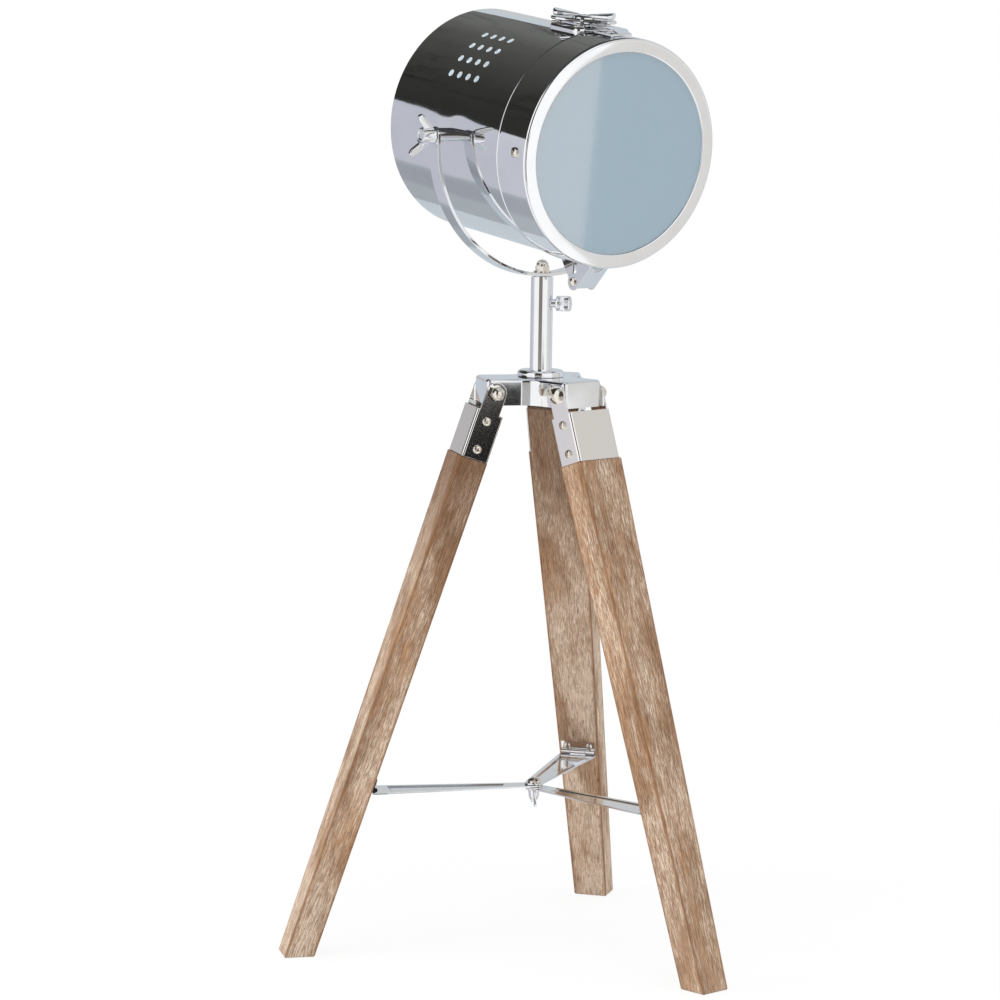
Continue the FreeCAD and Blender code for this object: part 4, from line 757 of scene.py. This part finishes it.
class LAMP_OT_spreader(bpy.types.Operator):
    """Tapered spreader arms with a pressed channel and a knuckle"""
    bl_idname = "lamp.spreader"
    bl_label = "Spreader arms"

    def execute(self, context):
        depth = context.scene.lamp.sizes.channel_depth
        # the hinge pins: from the post, above the table, and each arm above the next
        reach, height, step = 121.04, 120.96, 1.35
        pin_cover, width, drop, web_height = 1.8 * MM, 12, 1.9, 2.5
        for side, level in (("back", 1), ("left", 0), ("right", -1)):
            knuckle = bmesh.new()
            bmesh.ops.create_cone(knuckle, cap_ends=True, cap_tris=False, segments=28,
                                  radius1=pin_cover, radius2=pin_cover, depth=width * MM)
            bevel(knuckle, creased(knuckle, 1.2), 0.25 * MM)
            bmesh.ops.rotate(knuckle, matrix=turn("Y", 90), verts=knuckle.verts)
            web = bmesh.new()
            block(web, (width, 2.4, web_height), (0, 0, -web_height / 2))
            slant = math.degrees(math.asin(level * step / reach))
            place = (Matrix.Translation(POST) @ turn("Z", AZIMUTHS[side])
                     @ move(0, -reach, height) @ turn("X", slant))
            finished(joined([self.arm(reach, drop, depth), knuckle, web]), f"arm_{side}",
                     f"spreader_arm_{side}", "spreader_metal", place)
        return {"FINISHED"}

    @staticmethod
    def arm(reach, drop, depth):
        """The pressed plate, whose top is a drop below the hinge pin at the origin."""
        wide, narrow, end_round, sheet = 14.0, 6.4, 5.2, 1.2
        start, stop = 9.5, 103.0
        margin, slope = 3.6 * MM, 1.0 * MM
        mesh = bmesh.new()
        outline = [(-wide, -1.5), (wide, -1.5), (wide, 7), (narrow, reach + narrow),
                   (-narrow, reach + narrow), (-wide, 7)]
        plate = mesh.faces.new([mesh.verts.new((x * MM, y * MM, 0)) for x, y in outline])
        mesh.normal_update()
        if plate.normal.z < 0:
            plate.normal_flip()
        bevel(mesh, [v for v in mesh.verts if v.co.y > reach * MM], end_round * MM, 8, "VERTICES")
        for station in (start, stop):
            cut(mesh, (0, station, 0), (0, 1, 0))
        middle = [f for f in mesh.faces
                  if (start - 0.5) * MM < f.calc_center_median().y < stop * MM]
        for rim in (margin, slope):
            bmesh.ops.inset_region(mesh, faces=middle, thickness=rim, use_even_offset=True,
                                   use_boundary=True)
        lift(mesh, middle, -depth)
        bevel(mesh, [e for e in creased(mesh, 0.2) if len(e.link_faces) == 2], 0.5 * MM)
        mesh.normal_update()
        bmesh.ops.solidify(mesh, geom=mesh.faces[:], thickness=sheet * MM)
        bmesh.ops.recalc_face_normals(mesh, faces=mesh.faces)
        bevel(mesh, creased(mesh, 1.2), 0.25 * MM)
        top = max(v.co.z for v in mesh.verts)
        lift(mesh, mesh.faces, -drop * MM - top)
        return mesh


class LAMP_OT_screws(bpy.types.Operator):
    """Cross-recessed screws of the brackets, the hinge plates and the door"""
    bl_idname = "lamp.screws"
    bl_label = "Screws"

    def execute(self, context):
        plate_face, skew = 20, 17
        hinge_half, hinge_face, hinge_station, door_radius = 8.6, 11.7, 294.65, 81.1
        brackets = [leg_frame(side) @ move(sign * plate_face, 0, -station)
                    @ turn("Y", 90 * sign) @ turn("Z", spin + skew * sign)
                    for side in AZIMUTHS for station, spin in ((21.5, 20), (42.5, 55))
                    for sign in (-1, 1)]
        hinges = [leg_frame(side) @ move(sign * hinge_half, hinge_face, -hinge_station)
                  @ turn("X", -90) @ turn("Z", 30 * sign)
                  for side in AZIMUTHS for sign in (-1, 1)]
        low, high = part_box("retainer_screws")
        station = ((low + high) / 2 - PIVOT).dot(FORWARD) / MM
        door = [beam() @ turn("Y", 90 * sign) @ move(-sign * station, 0, door_radius)
                @ turn("Z", 35) for sign in (-1, 1)]
        for name, node, radius, height, places in (
                ("bracket_screw_heads", "bracket_screws", 3.0, 2.0, brackets),
                ("spreader_screw_heads", "spreader_screws", 2.3, 1.5, hinges),
                ("door_screw_heads", "retainer_screws", 3.7, 2.1, door)):
            finished(copies(screw_head(radius, height), places), name, node, "fastener")
        return {"FINISHED"}


class LAMP_OT_thumb_screw(bpy.types.Operator):
    """Knurled thumb screw that clamps the post"""
    bl_idname = "lamp.thumb_screw"
    bl_label = "Thumb screw"

    def execute(self, context):
        sizes = context.scene.lamp.sizes
        ridges, depth = sizes.knurl_count, sizes.knurl_depth
        tip, shank, near, wide = 6.6, 3.0, 10.9, 5.5
        knob = [(shank, 0), (4.7, 0), (5.4, 0.5), (wide, 0.9), (wide, 2.0), (4.75, 2.5),
                (4.75, 2.9), (5.2, 3.1), (wide, 3.6), (wide, 9.2), (5.2, 9.9), (4.6, 10.4),
                (3.2, 10.4), (2.9, 10.1), (0, 10.1)]
        mesh = turned([(0, tip), (shank, tip)] + [(radius, near + up) for radius, up in knob],
                      ridges * 2)
        for vert in mesh.verts:
            spoke = round(math.atan2(vert.co.y, vert.co.x) / math.tau * ridges * 2)
            out = vert.co.to_2d().length
            if spoke % 2 and out > 5.0 * MM and vert.co.z > (near + 3) * MM:
                vert.co.xy *= 1 - depth / out
        axis = Vector(JOINTS["thumb_screw_turn"]["axis"])
        point = Vector(JOINTS["thumb_screw_turn"]["pos_m"])
        start = point - axis * (point - Vector((POST.x, POST.y, point.z))).length
        place = Matrix.Translation(start) @ axis.to_track_quat("Z", "Y").to_matrix().to_4x4()
        finished(mesh, "thumb_knob", "thumb_screw", "latch_metal", place, 50.0, False)
        return {"FINISHED"}


class LAMP_OT_yoke(bpy.types.Operator):
    """Yoke band and post collar with eased edges"""
    bl_idname = "lamp.yoke"
    bl_label = "Yoke"

    def execute(self, context):
        ease = context.scene.lamp.sizes.edge_ease
        finished(eased("yoke", ease, 3), "yoke_band", "yoke", "yoke_metal")
        return {"FINISHED"}


class LAMP_OT_wing_nuts(bpy.types.Operator):
    """Wing nuts with rounded wings"""
    bl_idname = "lamp.wing_nuts"
    bl_label = "Wing nuts"

    def execute(self, context):
        for node, ease in (("pivot_wing_nut_left", 0.9), ("pivot_wing_nut_right", 0.9),
                           ("spreader_wing_nut", 0.5)):
            finished(eased(node, ease * MM, 4), f"{node}_wings", node, "latch_metal")
        return {"FINISHED"}


class LAMP_OT_door(bpy.types.Operator):
    """Spun door cap: a flat front ring with a rounded rim, and a beaded rear edge"""
    bl_idname = "lamp.door"
    bl_label = "Door cap"

    def execute(self, context):
        rim, inner, front, rear, opening = 81.1, 80.3, 93.2, 58.7, 71.0
        corner, lip, sheet = 2.3, 0.9, 1.0
        outside = [(rim - corner * (1 - math.cos(t)), front - corner * (1 - math.sin(t)))
                   for t in (i * math.pi / 16 for i in range(9))]
        turned_in = [(opening + lip * (1 - math.sin(t)), front - lip * (1 - math.cos(t)))
                     for t in (i * math.pi / 10 for i in range(6))]
        bead = [(inner, rear + 0.1), (inner + 0.35, rear - 0.25), (rim - 0.1, rear - 0.3),
                (rim + 0.25, rear - 0.05), (rim + 0.4, rear + 0.4), (rim + 0.25, rear + 0.85),
                (rim, rear + 1.1), (rim - 0.02, rear + 3)]
        back = [(opening, front - sheet), (opening + lip, front - sheet), (inner, front - sheet),
                (inner, rear + 0.1)]
        finished(turned(bead + outside + turned_in + back, 240), "door_cap_spun", "door_cap",
                 "ring", beam())
        return {"FINISHED"}


class LAMP_OT_latch(bpy.types.Operator):
    """Butterfly latch of the door: handle, slide, claw and base"""
    bl_idname = "lamp.latch"
    bl_label = "Latch"

    def execute(self, context):
        for node in ("latch_slide", "latch_claw"):
            finished(eased(node, 0.4 * MM, 3), f"{node}_piece", node, "latch_metal")
        finished(self.saddle(), "latch_base_piece", "latch_base", "latch_metal", beam())
        station, slant = 36, -45
        place = beam() @ move(0, 0, station) @ turn("X", -90) @ turn("Z", slant)
        finished(self.butterfly(), "latch_butterfly", "latch_handle", "latch_metal", place)
        return {"FINISHED"}

    @staticmethod
    def saddle():
        """The base: a pad with rounded corners and a rolled rim, hollowed to sit on the drum."""
        low, top, drum, station = 78.0, 83.0, 80.02, 35
        wide, long, corner, rim = 35, 38, 6.5 * MM, 2.6 * MM
        rail_size, rail_centre = (1.4, 2.1, 34), 83.45
        mesh = bmesh.new()
        block(mesh, (wide, top - low, long), (0, (top + low) / 2, station))
        bevel(mesh, running(mesh, 1), corner, 7)
        bevel(mesh, [e for e in mesh.edges if min(v.co.y for v in e.verts) > (top - 0.1) * MM],
              rim, 6)
        for x in (-10, -5, 0, 5, 10):
            cut(mesh, (x, 0, 0), (1, 0, 0))
        for vert in mesh.verts:
            if vert.co.y < (low + 0.1) * MM:
                vert.co.y = math.sqrt((drum * MM) ** 2 - vert.co.x ** 2)
        for rail in (-11, 11):
            block(mesh, rail_size, (rail, rail_centre, station))
        bmesh.ops.recalc_face_normals(mesh, faces=mesh.faces)
        return mesh

    def butterfly(self):
        """The handle: a round hub, a lower bar and two domed wings that rise outwards."""
        bore, low, wing_low = 3.3, 83.3, 88.4
        root, length, thin, thicker = 4, 18, 0.6, 0.7
        hub = turned([(bore, low), (7.6, low), (8.4, 85.0), (8.4, 88.0), (7.4, 89.2), (5.2, 89.9),
                      (bore, 89.9), (bore, low)], 48)
        bar = self.paddle([(0, 9.0), (12, 9.0), (19, 7.6), (22.4, 4.6), (23.6, 0.6)],
                          85.3, 2.4, 1.1)
        wing = self.paddle([(3.4, 3.0), (8, 4.6), (13, 6.2), (18, 7.2), (20.8, 5.8), (22, 2.4)],
                           wing_low, 2.6, 1.2, 1.2)
        for vert in wing.verts:
            rise = max(0.0, (vert.co.x / MM - root) / length)
            vert.co.z = wing_low * MM + (vert.co.z - wing_low * MM) * (thin + thicker * rise)
        half = joined([wing, bar])
        return joined([hub, copies(half, [turn("Z", 0), turn("Z", 180)])])

    @staticmethod
    def paddle(half, low, thick, ease, dome=0.0):
        """A blade along x from half its plan, in millimetres, with eased edges and a domed top."""
        widest = 7.2
        plan = half + [(x, -y) for x, y in reversed(half)]
        blade = bmesh.new()
        base = blade.faces.new([blade.verts.new((x * MM, y * MM, low * MM)) for x, y in plan])
        raise_plate(blade, base, thick * MM)
        bmesh.ops.recalc_face_normals(blade, faces=blade.faces)
        for x in (6, 10, 14, 18):
            cut(blade, (x, 0, 0), (1, 0, 0))
        for y in (-4, -2, 2, 4) if dome else ():
            cut(blade, (0, y, 0), (0, y, 0))
        bevel(blade, creased(blade, 1.0), ease * MM, 4)
        for vert in blade.verts:
            if vert.co.z > (low + thick / 2) * MM:
                vert.co.z += dome * MM * (1 - (vert.co.y / (widest * MM)) ** 2)
        return blade


class LAMP_OT_hinge(bpy.types.Operator):
    """Hinge leaves under the drum and the door"""
    bl_idname = "lamp.hinge"
    bl_label = "Door hinge"

    def execute(self, context):
        for node in ("door_hinge_leaf", "drum_hinge_leaf"):
            finished(eased(node, 0.25 * MM), f"{node}_piece", node, "latch_metal")
        return {"FINISHED"}


class LAMP_OT_stage(bpy.types.Operator):
    """Camera, soft light, pale floor and the studio that the plating mirrors"""
    bl_idname = "lamp.stage"
    bl_label = "Studio"

    def execute(self, context):
        studio = context.scene.lamp.studio
        self.camera(context.scene, studio)
        self.floor()
        self.lights(context.scene, studio.key)
        context.scene.world = self.world(studio)
        context.scene.view_settings.view_transform = "Standard"
        return {"FINISHED"}

    @staticmethod
    def camera(scene, studio):
        data = bpy.data.cameras.new("camera")
        data.lens, data.sensor_width = studio.lens, 36.0
        camera = bpy.data.objects.new("camera", data)
        camera.matrix_world = (
            Matrix.Translation(POST) @ Matrix.Rotation(-studio.azimuth, 4, "Z")
            @ Matrix.Translation((studio.offset, -studio.distance, studio.height))
            @ Matrix.Rotation(math.pi / 2 - studio.elevation, 4, "X")
            @ Matrix.Rotation(studio.roll, 4, "Z"))
        scene.collection.objects.link(camera)
        scene.camera = camera

    @staticmethod
    def floor():
        """A pale floor that keeps the shadows near the lamp and is white further out."""
        mesh = bmesh.new()
        bmesh.ops.create_grid(mesh, x_segments=4, y_segments=4, size=15.0)
        plane = linked(mesh, "floor")
        kit = Finish("pale_floor")
        kit.set(Base_Color=(0.88, 0.88, 0.88, 1), Roughness=0.9)
        glow = kit.made("Emission", {"Color": WHITE})
        path = kit.made("LightPath")
        whiter = kit.span(kit.length(kit.placed()), 0.2, 0.7, 0.90, 1.0, smooth=True)
        plane.data.materials.append(kit.surface(kit.layered(
            kit.times(path.outputs["Is Camera Ray"], whiter),
            kit.shader.outputs[0], glow.outputs[0])))
        plane.location.z = -0.4 * MM
        plane.visible_glossy = False

    @staticmethod
    def lights(scene, key):
        for name, spot, size, power in (("overhead", (-0.5, -0.6, 2.6), 2.2, key * 2.2),
                                        ("left", (-2.4, 0.7, 1.4), 1.6, key * 1.2)):
            data = bpy.data.lights.new(name, "AREA")
            data.shape, data.size, data.energy = "DISK", size, power
            lamp = bpy.data.objects.new(name, data)
            lamp.location = spot
            aim = Vector((0, 0, 0.35)) - Vector(spot)
            lamp.rotation_mode = "QUATERNION"
            lamp.rotation_quaternion = aim.to_track_quat("-Z", "Y")
            lamp.visible_glossy = False
            lamp.visible_camera = False
            scene.collection.objects.link(lamp)

    def world(self, studio):
        """White to the camera, soft from above to matt faces, a dressed studio to bright ones."""
        world = bpy.data.worlds.new("studio")
        world.use_nodes = True
        kit = Nodes(world.node_tree)
        level = kit.made("Mapping", {
            "Vector": kit.coordinates["Generated"], "Rotation": (0, 0, studio.azimuth)})
        across, away, up = kit.split(level.outputs["Vector"])
        degrees = 180 / math.pi
        height = kit.times(kit.sum("ARCSINE", up), degrees)
        # 0 towards the camera, 90 to its right, and 180 straight behind the lamp
        azimuth = kit.times(kit.sum("ARCTAN2", across, kit.times(away, -1.0)), degrees)

        def background(colour, strength=1.0):
            return kit.made("Background", {
                "Color": colour, "Strength": strength}).outputs[0]

        overhead = kit.span(up, -0.4, 1.0, studio.fill * 0.85, studio.fill * 1.25)
        sideways = kit.span(kit.sum("ABSOLUTE", azimuth), 20, 70, 0.70, 1.15, smooth=True)
        kit.tree.nodes.remove(kit.tree.nodes["Background"])
        path = kit.made("LightPath").outputs
        plain = kit.sum("MAXIMUM", path["Is Camera Ray"], path["Is Transmission Ray"])
        lit = kit.layered(path["Is Glossy Ray"], background(WHITE, kit.times(overhead, sideways)),
                          background(self.mirrored(kit, azimuth, height)))
        kit.feed(kit.tree.nodes["World Output"].inputs["Surface"],
                 kit.layered(plain, lit, background(WHITE)))
        return world

    @staticmethod
    def mirrored(kit, azimuth, height):
        """The walls, cards and dark cloth that bright faces mirror, by angles in degrees."""

        def band(source, low, high, soft):
            rise = kit.span(source, low - soft, low + soft, smooth=True)
            fall = kit.span(source, high - soft, high + soft, 1.0, 0.0, smooth=True)
            return kit.times(rise, fall)

        def with_card(under, colour, azimuths, heights, soft):
            """A soft-edged card of one colour, placed by its azimuths and heights."""
            mask = kit.times(band(azimuth, *azimuths, soft[0]), band(height, *heights, soft[1]))
            return kit.mixed(mask, under, colour)

        cloth_grey = rgb(200, 203, 203)
        warm_wall, bright_wall, side_wall = rgb(218, 216, 213), rgb(228, 229, 231), (-90, 90)
        sky = rgb(199, 207, 213)
        for card in (
                (rgb(193, 195, 204), (-148, -60), side_wall, (10, 1)),
                (rgb(208, 207, 213), (-108, -60), side_wall, (4, 1)),
                (rgb(170, 176, 181), (-156.5, -126), (-90, -12), (0.8, 2)),
                (rgb(159, 163, 170), (-140, -127), (-90, -22), (3, 2)),
                (cloth_grey, (-190, -174), (8, 15), (2, 1.5)),
                (cloth_grey, (174, 190), (8, 15), (2, 1.5)),
                (rgb(188, 187, 189), (-162, -143), (-4, 12), (4, 2)),
                (warm_wall, (0, 104), side_wall, (1, 1)),
                (rgb(190, 190, 190), (104, 113), side_wall, (3, 1)),
                (bright_wall, (118, 134), side_wall, (4, 1)),
                (WHITE, (-86, -30), (-75, 42), (2, 3)),
                (WHITE, (6, 60), (-8, 42), (4, 1.5)),
                (WHITE, (6, 88.28), (-9.5, -5.55), (0.03, 0.2))):
            sky = with_card(sky, *card)

        # the white board in front ends in a slanted edge, which the lens shows
        slanted = kit.sum("MULTIPLY_ADD", height, 0.055, azimuth)
        board = kit.times(band(slanted, 6, 70.68, 0.02), band(height, -75, -9, 1))
        sky = kit.mixed(board, sky, WHITE)
        camera_side = kit.mixed(kit.span(height, -3.5, -1.0), rgb(138, 129, 119), rgb(70, 67, 64))
        for card in (
                (camera_side, (-30, 6), (-5.6, 75), (3, 0.1)),
                (rgb(188, 187, 186), (-30, 6), (-40, -5.6), (3, 0.1)),
                (rgb(36, 35, 34), (12, 33), (-26, -5.4), (2, 0.12))):
            sky = with_card(sky, *card)

        # the creased cloth on the left fades towards the back, and hangs to above the horizon
        spread = kit.made("CombineXYZ", {
            "X": kit.times(kit.share(kit.coordinates["Generated"], FORWARD), 34.0),
            "Y": kit.times(height, 0.05)})
        folds = kit.noise(spread.outputs["Vector"], 1.0, 4.0, 0.55, 0.6)
        crease = kit.span(kit.sum("ABSOLUTE", kit.sum("SUBTRACT", folds, 0.5)), 0.0, 0.012,
                          smooth=True)
        cloth = kit.ramp(azimuth, -180, -100, [
            (-180, (112, 113, 111)), (-168, (106, 107, 104)), (-154, (86, 86, 82)),
            (-110, (46, 46, 44))])
        cloth = kit.mixed(kit.span(crease, 0.0, 1.0, 0.7, 0.0), cloth, rgb(24, 23, 22))
        edge = kit.sum("MAXIMUM", kit.span(azimuth, -112, -109, 10.5, 6.5),
                       kit.span(azimuth, -140, -165, 6.5, 23.5))
        above = kit.span(kit.sum("SUBTRACT", height, edge), -0.25, 0.25, smooth=True)
        behind = kit.span(azimuth, -70, -80, smooth=True)
        sky = kit.mixed(kit.times(above, behind), sky, cloth)
        ceiling = rgb(62, 64, 67)
        return kit.mixed(kit.span(height, 40, 58, smooth=True), sky, ceiling)


class LAMP_PT_panel(bpy.types.Panel):
    """Builds the lamp piece by piece"""
    bl_idname = "LAMP_PT_panel"
    bl_label = "Searchlight lamp"
    bl_space_type = "VIEW_3D"
    bl_region_type = "UI"
    bl_category = "Lamp"

    def draw(self, context):
        lamp = context.scene.lamp
        for group in (lamp.sizes, lamp.colours, lamp.studio):
            box = self.layout.box()
            for name in group.__annotations__:
                box.prop(group, name)
        for operator in OPERATORS:
            self.layout.operator(operator.bl_idname)


OPERATORS = (LAMP_OT_finishes, LAMP_OT_hub, LAMP_OT_brackets, LAMP_OT_spreader, LAMP_OT_screws,
             LAMP_OT_thumb_screw, LAMP_OT_yoke, LAMP_OT_wing_nuts, LAMP_OT_door, LAMP_OT_latch,
             LAMP_OT_hinge, LAMP_OT_stage)
CLASSES = (LampSizes, LampColours, LampStudio, LampSettings) + OPERATORS + (LAMP_PT_panel,)


def register():
    for entry in CLASSES:
        bpy.utils.register_class(entry)
    bpy.types.Scene.lamp = PointerProperty(type=LampSettings)


def unregister():
    del bpy.types.Scene.lamp
    for entry in reversed(CLASSES):
        bpy.utils.unregister_class(entry)


def main():
    register()
    bpy.ops.lamp.finishes()
    bpy.ops.lamp.hub()
    bpy.ops.lamp.brackets()
    bpy.ops.lamp.spreader()
    bpy.ops.lamp.screws()
    bpy.ops.lamp.thumb_screw()
    bpy.ops.lamp.yoke()
    bpy.ops.lamp.wing_nuts()
    bpy.ops.lamp.door()
    bpy.ops.lamp.latch()
    bpy.ops.lamp.hinge()
    bpy.ops.lamp.stage()


if __name__ == "__main__":
    main()
